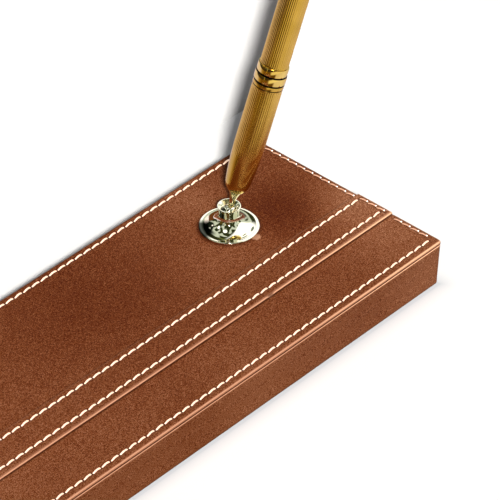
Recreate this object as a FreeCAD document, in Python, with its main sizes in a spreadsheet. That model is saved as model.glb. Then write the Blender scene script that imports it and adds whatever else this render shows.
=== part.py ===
import FreeCAD
import Part
import Sketcher
import math
import os

# Double desk pen stand: a slab covered in stitched leather with a raised band, and two
# brass holders whose swivel balls each carry a fluted twist pen.
# Millimetres and degrees. The origin is on the desk, under the middle of the base:
# +X runs along the base to the right, +Y to the back edge and +Z up.

SIZES = [
    # Base
    ("base_length", 254.0, "leather top, left to right"),
    ("base_depth", 101.6, "leather top, front to back"),
    ("top_height", 22.2, "face of the leather top above the desk"),
    ("top_thick", 1.9, "leather top"),
    ("top_corner", 1.6, "corner of the leather top seen from above"),
    ("wall_corner", 1.7, "corner of the side leather seen from above"),
    ("top_upper_round", 1.1, "burnished upper edge of the leather top"),
    ("top_lower_round", 0.45, "lower edge of the leather top"),
    ("wall_thick", 1.4, "leather round the sides and turned in below"),
    ("wall_lift", 0.5, "underside of the turned-in leather above the desk"),
    ("wall_draft", 0.9, "how far each side leans in at its foot"),
    ("wall_round", 0.45, "upper edge of the side leather"),
    ("turn_in", 12.0, "width of the leather turned in below"),
    ("felt_gap", 0.4, "felt pad to the edge of the turned-in leather"),
    ("band_width", 18.4, "raised band, front to back"),
    ("band_thick", 0.95, "raised band above the leather top"),
    ("band_from_front", 25.7, "front edge of the band from the front of the top"),
    ("band_end_gap", 0.5, "end of the band from the end of the top"),
    ("band_round", 0.45, "rounded upper edges of the band"),
    # Holder
    ("holder_spread", 152.0, "distance between the two holders"),
    ("holder_from_back", 33.4, "holder centre from the back of the top"),
    ("flange_radius", 12.3, "rim of the flange"),
    ("rim_round", 0.45, "half the thickness of the flange's rim"),
    ("recess_depth", 0.4, "relief under the flange"),
    ("rim_land", 1.3, "width of the rim that rests on the leather"),
    ("foot_radius", 5.4, "boss under the neck that rests on the leather"),
    ("waist_radius", 4.15, "narrowest part of the neck"),
    ("waist_height", 6.4, "narrowest part of the neck above the leather"),
    ("flare_radius", 3.9, "curve from the neck into the flange"),
    ("mouth_radius", 4.8, "outside of the mouth"),
    ("mouth_height", 10.5, "mouth above the leather"),
    ("mouth_wall", 0.45, "thickness of the mouth's rim"),
    ("mouth_round", 0.2, "outer edge of the mouth"),
    ("lip_grip", 0.305, "how far the lip reaches in over the ball"),
    ("ball_radius", 3.175, "swivel ball"),
    ("ball_height", 7.6, "ball centre above the leather"),
    ("ball_fit", 0.03, "gap between ball and socket"),
    ("ball_bore", 1.2, "radius of the bore through the ball"),
    ("bore_lead", 0.35, "countersink of the bore"),
    ("seat_fit", 0.055, "gap round the friction seat in the neck"),
    ("seat_top", 1.0, "top of the seat below the ball centre"),
    ("seat_foot", 3.9, "foot of the seat below the ball centre"),
    ("seat_bore", 1.9, "radius of the hole through the seat"),
    ("disc_thick", 0.35, "metal of the dished spring washer"),
    ("disc_rise", 0.42, "dish of the spring washer"),
    ("disc_bore", 1.7, "radius of the hole in the spring washer"),
    ("disc_gap", 0.03, "play above and below the spring washer"),
    ("plug_fit", 0.05, "gap round the stud's plug in the neck"),
    ("plug_foot", 1.7, "foot of the plug below the face of the leather"),
    ("stud_radius", 2.0, "stud through the core"),
    ("stud_hole_gap", 0.25, "gap round the stud and plug in leather and core"),
    ("counterbore_radius", 7.0, "pocket for nut and washer in the core"),
    ("counterbore_depth", 8.0, "depth of that pocket from the core's underside"),
    ("washer_radius", 5.5, "washer on the stud"),
    ("washer_thick", 1.0, "washer"),
    ("nut_flats", 7.0, "nut across the flats"),
    ("nut_thick", 3.2, "nut"),
    ("nut_fit", 0.05, "gap between stud and nut or washer"),
    ("stud_end", 1.2, "stud below the nut"),
    # How the pens stand
    ("pen_lean", 16.5, "lean of each pen from upright, degrees"),
    ("pen_forward", 22.5, "turn of the lean from straight outwards to the front, degrees"),
    # Pen, measured along its axis from the ball centre
    ("tip_end", 0.4, "open end of the writing tip"),
    ("tip_end_radius", 0.95, "outside of that end"),
    ("tip_fit", 0.04, "gap between the tip's cone and the ball's bore"),
    ("tip_throat", 4.6, "where the cone starts to flare"),
    ("tip_throat_radius", 1.3, "cone at that place"),
    ("nose_end", 10.4, "lower end of the barrel"),
    ("point_slide", 0.06, "gap between the refill's thin front and the tip's bore"),
    ("tip_spigot", 4.6, "length of the tip that screws into the barrel"),
    ("tip_spigot_radius", 2.7, "that spigot"),
    ("nose_end_radius", 3.6, "lower end of the barrel"),
    ("tip_step", 0.4, "step from there in to the flare of the tip"),
    ("nose_round", 4.0, "length over which the nose rounds in to that end"),
    ("nose_slim", 1.0, "how much slimmer the nose is above that rounding"),
    ("nose_taper", 32.0, "where the barrel starts to slim down to the nose"),
    ("flute_start", 20.4, "where the cutter for the flutes starts"),
    ("lower_radius", 6.2, "lower barrel"),
    ("lower_wall", 0.7, "wall of the lower barrel"),
    ("groove_width", 0.45, "each groove about the rings"),
    ("groove_depth", 0.45, "each groove about the rings"),
    ("lower_top", 61.2, "upper end of the lower barrel"),
    ("lip_height", 2.0, "lip and its groove, at the upper end of the lower barrel"),
    ("lip_out", 0.1, "how far the lip stands out from the barrel"),
    ("band_seam", 0.45, "open seam between the barrel and the turning rings"),
    ("lower_ring", 3.45, "height of the lower ring"),
    ("upper_ring", 3.7, "height of the upper ring with the groove under it"),
    ("lower_ring_out", 0.25, "how far the lower ring stands out from the lower barrel"),
    ("upper_ring_out", 0.5, "how far the upper ring stands out from the upper barrel"),
    ("ring_crown", 0.12, "how far each ring swells at its middle"),
    ("upper_radius", 5.75, "upper barrel"),
    ("upper_wall", 0.65, "wall of the upper barrel"),
    ("upper_length", 52.2, "length of the upper barrel"),
    ("spigot_fit", 0.02, "gap between a pushed-in spigot and its barrel"),
    ("spigot_length", 5.0, "length of each pushed-in spigot"),
    ("cap_ring", 2.2, "plain ring at the foot of the end cap"),
    ("cap_ring_out", 0.2, "how far that ring stands out from the upper barrel"),
    ("cap_dome", 5.6, "domed part of the end cap"),
    ("cap_flat_radius", 1.6, "flat on top of the dome"),
    ("cap_shoulder", 0.65, "step from that ring in to the dome"),
    ("flute_count", 46, "flutes round each barrel"),
    ("flute_width", 0.68, "width of each flute"),
    ("flute_depth", 0.16, "depth of each flute"),
    ("flute_stop", 0.5, "plain metal left at the ends of the upper barrel"),
    # Works inside the pen
    ("sleeve_below", 7.2, "length of the twist sleeve inside the lower barrel"),
    ("sleeve_above", 19.2, "length of the twist sleeve above the rings"),
    ("sleeve_wall", 0.6, "wall of the sleeve"),
    ("band_wall", 0.53, "wall of the spigot that turns on the sleeve"),
    ("turn_fit", 0.05, "gap between turning and sliding parts"),
    ("driver_gap", 2.0, "room between the sleeve and the twist driver's plug"),
    ("driver_length", 7.0, "that plug"),
    ("spindle_reach", 4.0, "how far the driver's spindle reaches into the carrier"),
    ("spindle_radius", 1.5, "spindle"),
    ("carrier_drop", 6.0, "upper end of the refill carrier below that of the sleeve"),
    ("carrier_length", 12.0, "refill carrier"),
    ("carrier_socket", 4.0, "depth of the carrier's socket for the refill"),
    ("carrier_web", 1.5, "solid part between the socket and the spindle's bore"),
    ("refill_point", 0.9, "writing point with the refill drawn in"),
    ("refill_point_radius", 0.25, "that point"),
    ("refill_cone", 1.6, "length of the refill's cone"),
    ("refill_nose_radius", 0.62, "thin front of the refill"),
    ("refill_step", 12.5, "where the refill becomes its full width"),
    ("refill_radius", 1.45, "refill"),
    ("refill_gap", 0.35, "gap round the refill in the tip"),
    ("tip_bore_end", 8.6, "where the tip's narrow bore opens out"),
]

doc = FreeCAD.newDocument("pen_stand")
sheet = doc.addObject("Spreadsheet::Sheet", "Dims")
for row, (alias, value, note) in enumerate(SIZES, 1):
    sheet.set("A%d" % row, alias)
    sheet.set("B%d" % row, str(value))
    sheet.setAlias("B%d" % row, alias)
    sheet.set("C%d" % row, note)
doc.recompute()


class Size:
    """A size that carries its number and the sheet expression that gives it."""

    def __init__(self, value, text):
        self.value = float(value)
        self.text = text

    def joined(self, other, sign, value):
        text = other.text if isinstance(other, Size) else repr(float(other))
        return Size(value, "(%s %s %s)" % (self.text, sign, text))

    def __add__(self, other):
        return self.joined(other, "+", self.value + number(other))

    def __sub__(self, other):
        return self.joined(other, "-", self.value - number(other))

    def __mul__(self, other):
        return self.joined(other, "*", self.value * number(other))

    def __truediv__(self, other):
        return self.joined(other, "/", self.value / number(other))

    def __neg__(self):
        return Size(-self.value, "(-1 * %s)" % self.text)

    def root(self):
        return Size(math.sqrt(self.value), "sqrt(%s)" % self.text)


def number(item):
    return item.value if isinstance(item, Size) else float(item)


def size(alias):
    return Size(sheet.get(alias), "Dims.%s" % alias)


ZERO = Size(0.0, "0")

# Levels and places that several pieces share
wall_thick = size("wall_thick")
top_face = size("top_height")
core_top = top_face - size("top_thick")
core_foot = size("wall_lift") + wall_thick
half_length = size("base_length") / 2
half_depth = size("base_depth") / 2
holder_x = size("holder_spread") / 2
holder_y = half_depth - size("holder_from_back")
wall_rise = core_top - size("wall_lift")
socket_radius = size("ball_radius") + size("ball_fit")
nut_seat = core_foot + size("counterbore_depth") - top_face
plug_radius = socket_radius - size("plug_fit")
disc_top = size("ball_height") - size("seat_foot") - size("disc_gap")
plug_top = disc_top - size("disc_thick") - size("disc_rise") - size("disc_gap")

# Stations along the pen, from the ball centre, and radii that fit each other
lip_foot = size("lower_top") - size("lip_height")
ring_foot = size("lower_top") + size("band_seam")
ring_split = ring_foot + size("lower_ring")
ring_top = ring_split + size("upper_ring")
upper_top = ring_top + size("upper_length")
sleeve_top = ring_top + size("sleeve_above")
driver_foot = sleeve_top + size("driver_gap")
carrier_top = sleeve_top - size("carrier_drop")
carrier_foot = carrier_top - size("carrier_length")
upper_spigot = size("upper_radius") - size("upper_wall") - size("spigot_fit")
sleeve_radius = upper_spigot - size("band_wall") - size("turn_fit")


def plane(body, role):
    return [item for item in body.Origin.OriginFeatures if item.Role == role][0]


def new_body(label):
    body = doc.addObject("PartDesign::Body", label)
    body.Label = label
    return body


def new_sketch(body, name, role, level=None):
    sketch = body.newObject("Sketcher::SketchObject", name)
    sketch.AttachmentSupport = [(plane(body, role), "")]
    sketch.MapMode = "FlatFace"
    if level is not None:
        sketch.setExpression("AttachmentOffset.Base.z", level.text)
    return sketch


def pin_point(sketch, curve, end, x, y):
    """Tie one end of a curve to its two distances from the sketch's origin."""
    for kind, axis, distance in (("DistanceX", -2, x), ("DistanceY", -1, y)):
        if distance is ZERO:
            sketch.addConstraint(Sketcher.Constraint("PointOnObject", curve, end, axis))
        else:
            made = Sketcher.Constraint(kind, -1, 1, curve, end, distance.value)
            place = sketch.addConstraint(made)
            sketch.setExpression("Constraints[%d]" % place, distance.text)


def arc_between(start, finish, radius, turn):
    """Arc from start to finish, to the left of its chord's centre when turn is 1."""
    chord = finish - start
    half = chord.Length / 2
    reach = math.sqrt(max(radius * radius - half * half, 0.0))
    left = FreeCAD.Vector(-chord.y, chord.x, 0).normalize()
    centre = (start + finish) * 0.5 + left * reach * turn
    first, last = (start, finish) if turn > 0 else (finish, start)
    angles = [math.atan2(p.y - centre.y, p.x - centre.x) for p in (first, last)]
    circle = Part.Circle(centre, FreeCAD.Vector(0, 0, 1), radius)
    return Part.ArcOfCircle(circle, angles[0], angles[1])


def draw_outline(sketch, points):
    """Closed outline. A point is (x, y), or (x, y, radius, turn) where an arc follows it."""
    corners = [FreeCAD.Vector(p[0].value, p[1].value, 0) for p in points]
    ends = []
    for index, point in enumerate(points):
        start, finish = corners[index], corners[(index + 1) % len(corners)]
        if len(point) == 2:
            curve = sketch.addGeometry(Part.LineSegment(start, finish))
            ends.append((curve, 1, 2))
            continue
        radius, turn = point[2], point[3]
        curve = sketch.addGeometry(arc_between(start, finish, radius.value, turn))
        ends.append((curve, 1, 2) if turn > 0 else (curve, 2, 1))
    for index, point in enumerate(points):
        curve, first, last = ends[index]
        after, after_first, after_last = ends[(index + 1) % len(ends)]
        joint = Sketcher.Constraint("Coincident", curve, last, after, after_first)
        sketch.addConstraint(joint)
    for index, point in enumerate(points):
        curve, first, last = ends[index]
        pin_point(sketch, curve, first, point[0], point[1])
        if len(point) == 4:
            made = Sketcher.Constraint("Radius", curve, point[2].value)
            place = sketch.addConstraint(made)
            sketch.setExpression("Constraints[%d]" % place, point[2].text)


def draw_circle(sketch, x, y, radius):
    centre = FreeCAD.Vector(x.value, y.value, 0)
    curve = sketch.addGeometry(Part.Circle(centre, FreeCAD.Vector(0, 0, 1), radius.value))
    pin_point(sketch, curve, 3, x, y)
    place = sketch.addConstraint(Sketcher.Constraint("Radius", curve, radius.value))
    sketch.setExpression("Constraints[%d]" % place, radius.text)


def draw_slab(sketch, half_x, half_y, corner):
    """Rectangle about the origin with rounded corners."""
    in_x, in_y = half_x - corner, half_y - corner
    draw_outline(sketch, [
        (in_x, -half_y, corner, 1),
        (half_x, -in_y),
        (half_x, in_y, corner, 1),
        (in_x, half_y),
        (-in_x, half_y, corner, 1),
        (-half_x, in_y),
        (-half_x, -in_y, corner, 1),
        (-in_x, -half_y),
    ])


def add_feature(body, kind, name, sketch, **settings):
    feature = body.newObject("PartDesign::" + kind, name)
    feature.Profile = sketch
    for key, value in settings.items():
        if isinstance(value, Size):
            feature.setExpression(key, value.text)
        else:
            setattr(feature, key, value)
    return feature


def cut_away(body, kind, name, sketch, **settings):
    """A feature that has to take material off; it is turned round if it points away."""
    doc.recompute()
    before = body.Shape.Volume
    feature = add_feature(body, kind, name, sketch, **settings)
    doc.recompute()
    if body.Shape.Volume >= before - 1e-6:
        feature.Reversed = not feature.Reversed
        doc.recompute()
    if body.Shape.Volume >= before - 1e-6:
        raise RuntimeError("%s cuts nothing" % feature.Label)
    return feature


def revolve(label, points):
    """Turned piece: its half outline in X and Z, spun about Z."""
    body = new_body(label)
    sketch = new_sketch(body, label + "_profile", "XZ_Plane")
    draw_outline(sketch, points)
    turned = add_feature(body, "Revolution", label + "_turned", sketch, Angle=360.0)
    turned.ReferenceAxis = (sketch, ["V_Axis"])
    return body


def round_edges(body, name, radius, wanted):
    """Fillet the edges of the body's last feature that wanted picks by their middle."""
    doc.recompute()
    base = body.Tip
    picked = []
    for index, edge in enumerate(base.Shape.Edges, 1):
        middle = edge.valueAt((edge.FirstParameter + edge.LastParameter) / 2)
        if wanted(middle, edge):
            picked.append("Edge%d" % index)
    if not picked:
        raise RuntimeError("%s finds no edges" % name)
    fillet = body.newObject("PartDesign::Fillet", name)
    fillet.Base = (base, picked)
    fillet.setExpression("Radius", radius.text)
    doc.recompute()
    return fillet


def at_height(level):
    return lambda middle, edge: abs(middle.z - level.value) < 1e-4


# Base: core, side leather, leather top, raised band and felt pad

def side_in(level):
    """How far the drafted side stands in from the outline of the top at a level."""
    return size("wall_draft") * (core_top - level) / wall_rise


def core_outline(sketch, level):
    inset = side_in(level) + wall_thick
    corner = size("wall_corner") - wall_thick
    draw_slab(sketch, half_length - inset, half_depth - inset, corner)


def make_base_core():
    body = new_body("base_core")
    lower = new_sketch(body, "core_lower", "XY_Plane", core_foot)
    core_outline(lower, core_foot)
    upper = new_sketch(body, "core_upper", "XY_Plane", core_top)
    core_outline(upper, core_top)
    add_feature(body, "AdditiveLoft", "core_block", lower, Sections=[upper], Ruled=True)
    holes = new_sketch(body, "stud_holes", "XY_Plane", core_top)
    pockets = new_sketch(body, "nut_pockets", "XY_Plane", core_foot)
    for x in (-holder_x, holder_x):
        draw_circle(holes, x, holder_y, size("stud_radius") + size("stud_hole_gap"))
        draw_circle(pockets, x, holder_y, size("counterbore_radius"))
    cut_away(body, "Pocket", "stud_bores", holes, Type="ThroughAll")
    cut_away(body, "Pocket", "nut_counterbores", pockets, Length=size("counterbore_depth"))
    return body


def make_wall_leather():
    body = new_body("wall_leather")
    foot = size("wall_lift")
    corner = size("wall_corner")
    lower = new_sketch(body, "wall_lower", "XY_Plane", foot)
    draw_slab(lower, half_length - side_in(foot), half_depth - side_in(foot), corner)
    upper = new_sketch(body, "wall_upper", "XY_Plane", core_top)
    draw_slab(upper, half_length, half_depth, corner)
    add_feature(body, "AdditiveLoft", "wall_block", lower, Sections=[upper], Ruled=True)
    inner_lower = new_sketch(body, "wall_inner_lower", "XY_Plane", core_foot)
    core_outline(inner_lower, core_foot)
    inner_upper = new_sketch(body, "wall_inner_upper", "XY_Plane", core_top)
    core_outline(inner_upper, core_top)
    cut_away(body, "SubtractiveLoft", "wall_inside", inner_lower, Sections=[inner_upper],
             Ruled=True)
    window = new_sketch(body, "turn_in_window", "XY_Plane", foot)
    edge = side_in(foot) + size("turn_in")
    draw_slab(window, half_length - edge, half_depth - edge, size("wall_corner"))
    cut_away(body, "Pocket", "turn_in_opening", window, Length=wall_thick)
    rim = half_length.value - wall_thick.value / 2, half_depth.value - wall_thick.value / 2
    top_level = at_height(core_top)

    def outer_top(middle, edge):
        outside = abs(middle.x) > rim[0] or abs(middle.y) > rim[1]
        return top_level(middle, edge) and outside

    round_edges(body, "wall_upper_round", size("wall_round"), outer_top)
    return body


def make_top_leather():
    body = new_body("top_leather")
    outline = new_sketch(body, "top_outline", "XY_Plane", core_top)
    draw_slab(outline, half_length, half_depth, size("top_corner"))
    add_feature(body, "Pad", "top_sheet", outline, Length=size("top_thick"))
    round_edges(body, "top_upper_edge", size("top_upper_round"), at_height(top_face))
    round_edges(body, "top_lower_edge", size("top_lower_round"), at_height(core_top))
    holes = new_sketch(body, "top_holes", "XY_Plane", top_face)
    for x in (-holder_x, holder_x):
        draw_circle(holes, x, holder_y, plug_radius + size("stud_hole_gap"))
    cut_away(body, "Pocket", "top_stud_holes", holes, Type="ThroughAll")
    return body


def make_band_leather():
    body = new_body("band_leather")
    outline = new_sketch(body, "band_outline", "XY_Plane", top_face)
    reach = half_length - size("band_end_gap")
    front = size("band_from_front") - half_depth
    back = front + size("band_width")
    draw_outline(outline, [(-reach, front), (reach, front), (reach, back), (-reach, back)])
    add_feature(body, "Pad", "band_strip", outline, Length=size("band_thick"))
    upper = top_face + size("band_thick")
    round_edges(body, "band_upper_edge", size("band_round"), at_height(upper))
    return body


def make_felt_pad():
    body = new_body("felt_pad")
    outline = new_sketch(body, "felt_outline", "XY_Plane")
    edge = side_in(size("wall_lift")) + size("turn_in") + size("felt_gap")
    draw_slab(outline, half_length - edge, half_depth - edge, size("wall_corner"))
    add_feature(body, "Pad", "felt_sheet", outline, Length=core_foot)
    return body


# Holder, with heights above the face of the leather

def make_flange(label):
    rim = size("rim_round")
    flange = size("flange_radius")
    waist, waist_z = size("waist_radius"), size("waist_height")
    mouth, mouth_z = size("mouth_radius"), size("mouth_height")
    small = size("flare_radius")
    rim_x, rim_z = flange - rim, rim * 2
    # Two arcs in line with each other: upright at the waist and level at the rim
    run, rise = rim_x - waist, waist_z - rim_z
    wide = (run * run - run * small * 2 + rise * rise) / ((rise - small) * 2)
    small_x = waist + small
    wide_z = rim_z + wide
    gap = wide - small
    join_x = small_x + (small_x - rim_x) * small / gap
    join_z = waist_z + (waist_z - wide_z) * small / gap
    out, up = mouth - waist, mouth_z - size("mouth_round") - waist_z
    bell = (out * out + up * up) / (out * 2)
    lip = socket_radius - size("lip_grip")
    ball_z = size("ball_height")
    lip_z = ball_z + (socket_radius * socket_radius - lip * lip).root()
    foot, recess = size("foot_radius"), size("recess_depth")
    land_x = flange - size("rim_land")
    return revolve(label, [
        (socket_radius, ZERO),
        (foot, ZERO),
        (foot, recess),
        (land_x, recess),
        (land_x, ZERO),
        (rim_x, ZERO, rim, 1),
        (flange, rim, rim, 1),
        (rim_x, rim_z, wide, -1),
        (join_x, join_z, small, -1),
        (waist, waist_z, bell, -1),
        (mouth, mouth_z - size("mouth_round"), size("mouth_round"), 1),
        (mouth - size("mouth_round"), mouth_z),
        (mouth - size("mouth_wall"), mouth_z),
        (lip, lip_z, socket_radius, -1),
        (socket_radius, ball_z),
    ])


def make_ball(label):
    ball, bore = size("ball_radius"), size("ball_bore")
    wide = bore + size("bore_lead")
    foot = (ball * ball - bore * bore).root()
    crown = (ball * ball - wide * wide).root()
    return revolve(label, [
        (bore, -foot, ball, 1),
        (wide, crown),
        (bore, crown - size("bore_lead")),
    ])


def make_seat(label):
    outer = socket_radius - size("seat_fit")
    bore, top = size("seat_bore"), size("seat_top")
    cup_x = (socket_radius * socket_radius - top * top).root()
    cup_z = (socket_radius * socket_radius - bore * bore).root()
    middle = size("ball_height")
    return revolve(label, [
        (bore, middle - size("seat_foot")),
        (outer, middle - size("seat_foot")),
        (outer, middle - top),
        (cup_x, middle - top, socket_radius, -1),
        (bore, middle - cup_z),
    ])


def make_disc(label):
    outer, bore = socket_radius - size("seat_fit"), size("disc_bore")
    thick, rise = size("disc_thick"), size("disc_rise")
    foot = disc_top - thick - rise
    return revolve(label, [
        (outer, foot),
        (outer, foot + thick),
        (bore, disc_top),
        (bore, disc_top - thick),
    ])


def make_stud(label):
    low = nut_seat - size("washer_thick") - size("nut_thick") - size("stud_end")
    return revolve(label, [
        (ZERO, low),
        (size("stud_radius"), low),
        (size("stud_radius"), -size("plug_foot")),
        (plug_radius, -size("plug_foot")),
        (plug_radius, plug_top),
        (ZERO, plug_top),
    ])


def make_washer(label):
    bore = size("stud_radius") + size("nut_fit")
    foot = nut_seat - size("washer_thick")
    return revolve(label, [
        (bore, foot),
        (size("washer_radius"), foot),
        (size("washer_radius"), nut_seat),
        (bore, nut_seat),
    ])


def make_nut(label):
    body = new_body(label)
    top = nut_seat - size("washer_thick")
    sketch = new_sketch(body, label + "_hexagon", "XY_Plane", top - size("nut_thick"))
    flat = size("nut_flats") / 2
    side = size("nut_flats") / math.sqrt(3)
    draw_outline(sketch, [
        (side, ZERO),
        (side / 2, flat),
        (-side / 2, flat),
        (-side, ZERO),
        (-side / 2, -flat),
        (side / 2, -flat),
    ])
    add_feature(body, "Pad", label + "_blank", sketch, Length=size("nut_thick"))
    bore = new_sketch(body, label + "_bore", "XY_Plane", top)
    draw_circle(bore, ZERO, ZERO, size("stud_radius") + size("nut_fit"))
    cut_away(body, "Pocket", label + "_thread", bore, Length=size("nut_thick"))
    return body


# Pen, with heights along its axis from the ball centre

def swell(width, height):
    """Radius of an arc that leaves a straight line smoothly and moves width over height."""
    return (width * width + height * height) / (width * 2)


def make_pen_tip(label):
    end, throat, nose = size("tip_end"), size("tip_throat"), size("nose_end")
    top = size("nose_end_radius") - size("tip_step")
    flare = swell(top - size("tip_throat_radius"), nose - throat)
    spigot, opens = size("tip_spigot_radius"), size("tip_bore_end")
    bore = size("refill_nose_radius") + size("point_slide")
    room = size("refill_radius") + size("refill_gap")
    ball, hole = size("ball_radius"), size("ball_bore")
    mouth = (ball * ball - hole * hole).root()
    return revolve(label, [
        (bore, end),
        (size("tip_end_radius"), end),
        (hole - size("tip_fit"), mouth),
        (size("tip_throat_radius"), throat, flare, -1),
        (top, nose),
        (spigot, nose),
        (spigot, nose + size("tip_spigot")),
        (room, nose + size("tip_spigot")),
        (room, opens + (room - bore)),
        (bore, opens),
    ])


def flute_barrel(body, label, radius, start, finish):
    """Cut one flute along the barrel and repeat it all the way round."""
    deep, half = size("flute_depth"), size("flute_width") / 2
    sketch = new_sketch(body, label + "_flute", "XY_Plane", start)
    draw_outline(sketch, [
        (radius - deep, ZERO),
        (radius + deep, -half * 2),
        (radius + deep, half * 2),
    ])
    flute = cut_away(body, "Pocket", label + "_first_flute", sketch, Length=finish - start)
    ring = body.newObject("PartDesign::PolarPattern", label + "_flutes")
    ring.Originals = [flute]
    ring.Axis = (sketch, ["N_Axis"])
    ring.Angle = 360.0
    ring.setExpression("Occurrences", size("flute_count").text)
    body.Tip = ring


def make_lower_barrel(label):
    nose, outer = size("nose_end"), size("lower_radius")
    inner = outer - size("lower_wall")
    spigot = size("tip_spigot_radius") + size("spigot_fit")
    round_z, taper_z = nose + size("nose_round"), size("nose_taper")
    slim = outer - size("nose_slim")
    bend = swell(size("nose_slim"), taper_z - round_z)
    # The rounding meets the slimmer stretch above it without a corner
    in_x, in_z = slim - size("nose_end_radius"), size("nose_round")
    slant = in_x * (bend - size("nose_slim")) - in_z * (taper_z - round_z)
    nose_bend = (in_x * in_x + in_z * in_z) * bend / (slant * 2)
    socket = nose + size("tip_spigot") + size("spigot_fit")
    groove, top = lip_foot, size("lower_top")
    lip = outer + size("lip_out")
    deep = outer - size("groove_depth") / 2
    body = revolve(label, [
        (spigot, nose),
        (size("nose_end_radius"), nose, nose_bend, 1),
        (slim, round_z, bend, 1),
        (outer, taper_z),
        (outer, groove),
        (deep, groove),
        (deep, groove + size("groove_width")),
        (lip, groove + size("groove_width")),
        (lip, top),
        (inner, top),
        (inner, socket + (inner - spigot)),
        (spigot, socket),
    ])
    flute_barrel(body, label, outer, size("flute_start"), groove)
    return body


def make_centre_band(label):
    foot, split, top, wide = ring_foot, ring_split, ring_top, size("groove_width")
    ring, crown = size("lower_radius") + size("lower_ring_out"), size("ring_crown")
    upper = size("upper_radius") + size("upper_ring_out")
    edge, upper_edge = ring - crown, upper - crown
    groove = edge - size("groove_depth")
    half = (split - foot) / 2
    upper_half = (top - split - wide) / 2
    bore, spigot = sleeve_radius + size("turn_fit"), upper_spigot
    return revolve(label, [
        (bore, foot),
        (edge, foot, swell(crown, half), 1),
        (ring, foot + half, swell(crown, half), 1),
        (edge, split),
        (groove, split),
        (groove, split + wide),
        (upper_edge, split + wide, swell(crown, upper_half), 1),
        (upper, split + wide + upper_half, swell(crown, upper_half), 1),
        (upper_edge, top),
        (spigot, top),
        (spigot, top + size("spigot_length")),
        (bore, top + size("spigot_length")),
    ])


def make_upper_barrel(label):
    outer, foot, top = size("upper_radius"), ring_top, upper_top
    inner = outer - size("upper_wall")
    body = revolve(label, [(inner, foot), (outer, foot), (outer, top), (inner, top)])
    stop = size("flute_stop")
    flute_barrel(body, label, outer, foot + stop, top - stop)
    return body


def make_end_cap(label):
    foot, spigot = upper_top, upper_spigot
    ring, flat = size("upper_radius") + size("cap_ring_out"), size("cap_flat_radius")
    neck = ring - size("cap_shoulder")
    dome_foot = foot + size("cap_ring")
    top = dome_foot + size("cap_dome")
    return revolve(label, [
        (ZERO, foot - size("spigot_length")),
        (spigot, foot - size("spigot_length")),
        (spigot, foot),
        (ring, foot),
        (ring, dome_foot),
        (neck, dome_foot, swell(neck - flat, size("cap_dome")), 1),
        (flat, top),
        (ZERO, top),
    ])


def make_twist_sleeve(label):
    radius, foot = sleeve_radius, size("lower_top") - size("sleeve_below")
    inner = radius - size("sleeve_wall")
    wide = size("lower_radius") - size("lower_wall") - size("spigot_fit")
    collar = ring_foot - size("turn_fit")
    return revolve(label, [
        (inner, foot),
        (wide, foot),
        (wide, collar),
        (radius, collar),
        (radius, sleeve_top),
        (inner, sleeve_top),
    ])


def make_twist_driver(label):
    outer, foot = upper_spigot, driver_foot
    spindle_foot = carrier_top - size("spindle_reach")
    return revolve(label, [
        (ZERO, spindle_foot),
        (size("spindle_radius"), spindle_foot),
        (size("spindle_radius"), foot),
        (outer, foot),
        (outer, foot + size("driver_length")),
        (ZERO, foot + size("driver_length")),
    ])


def make_refill_carrier(label):
    outer = sleeve_radius - size("sleeve_wall") - size("turn_fit")
    foot, top = carrier_foot, carrier_top
    socket = foot + size("carrier_socket")
    refill = size("refill_radius") + size("spigot_fit")
    bore = size("spindle_radius") + size("turn_fit")
    well = socket + size("carrier_web")
    return revolve(label, [
        (refill, foot),
        (outer, foot),
        (outer, top),
        (bore, top),
        (bore, well),
        (ZERO, well),
        (ZERO, socket),
        (refill, socket),
    ])


def make_refill(label):
    point, step = size("refill_point"), size("refill_step")
    nose, wide = size("refill_nose_radius"), size("refill_radius")
    top = carrier_foot + size("carrier_socket") - size("spigot_fit")
    return revolve(label, [
        (ZERO, point),
        (size("refill_point_radius"), point),
        (nose, point + size("refill_cone")),
        (nose, step),
        (wide, step + (wide - nose)),
        (wide, top),
        (ZERO, top),
    ])


HOLDER_PIECES = [
    ("holder_flange", make_flange),
    ("ball_seat", make_seat),
    ("spring_washer", make_disc),
    ("holder_stud", make_stud),
    ("holder_washer", make_washer),
    ("holder_nut", make_nut),
]
PEN_PIECES = [
    ("swivel_ball", make_ball),
    ("pen_tip", make_pen_tip),
    ("lower_barrel", make_lower_barrel),
    ("twist_sleeve", make_twist_sleeve),
    ("centre_band", make_centre_band),
    ("upper_barrel", make_upper_barrel),
    ("end_cap", make_end_cap),
    ("twist_driver", make_twist_driver),
    ("refill_carrier", make_refill_carrier),
    ("refill", make_refill),
]


def place(body, side, height, leans):
    """Set a body at the holder on one side, upright or along the leaning pen."""
    spot = "create(<<vector>>; %s; %s; %s)" % ((holder_x * side).text, holder_y.text,
                                              height.text)
    axis = "create(<<vector>>; sin(Dims.pen_forward); %d * cos(Dims.pen_forward); 0)" % side
    angle = "Dims.pen_lean" if leans else "0"
    turn = "create(<<rotation>>; %s; %s)" % (axis, angle)
    body.setExpression("Placement", "create(<<placement>>; %s; %s)" % (spot, turn))


pieces = [
    make_base_core(),
    make_wall_leather(),
    make_top_leather(),
    make_band_leather(),
    make_felt_pad(),
]
for side, side_name in ((1, "right"), (-1, "left")):
    for name, make in HOLDER_PIECES:
        piece = make("%s_%s" % (name, side_name))
        place(piece, side, top_face, False)
        pieces.append(piece)
    for name, make in PEN_PIECES:
        piece = make("%s_%s" % (name, side_name))
        place(piece, side, top_face + size("ball_height"), True)
        pieces.append(piece)
doc.recompute()

for item in doc.Objects:
    if "Invalid" in item.State or "Error" in item.State:
        raise RuntimeError("%s is %s" % (item.Label, item.State))
for piece in pieces:
    shape = piece.Shape
    if shape.isNull() or not shape.isValid() or len(shape.Solids) != 1:
        raise RuntimeError("%s has no single valid solid" % piece.Label)

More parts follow.
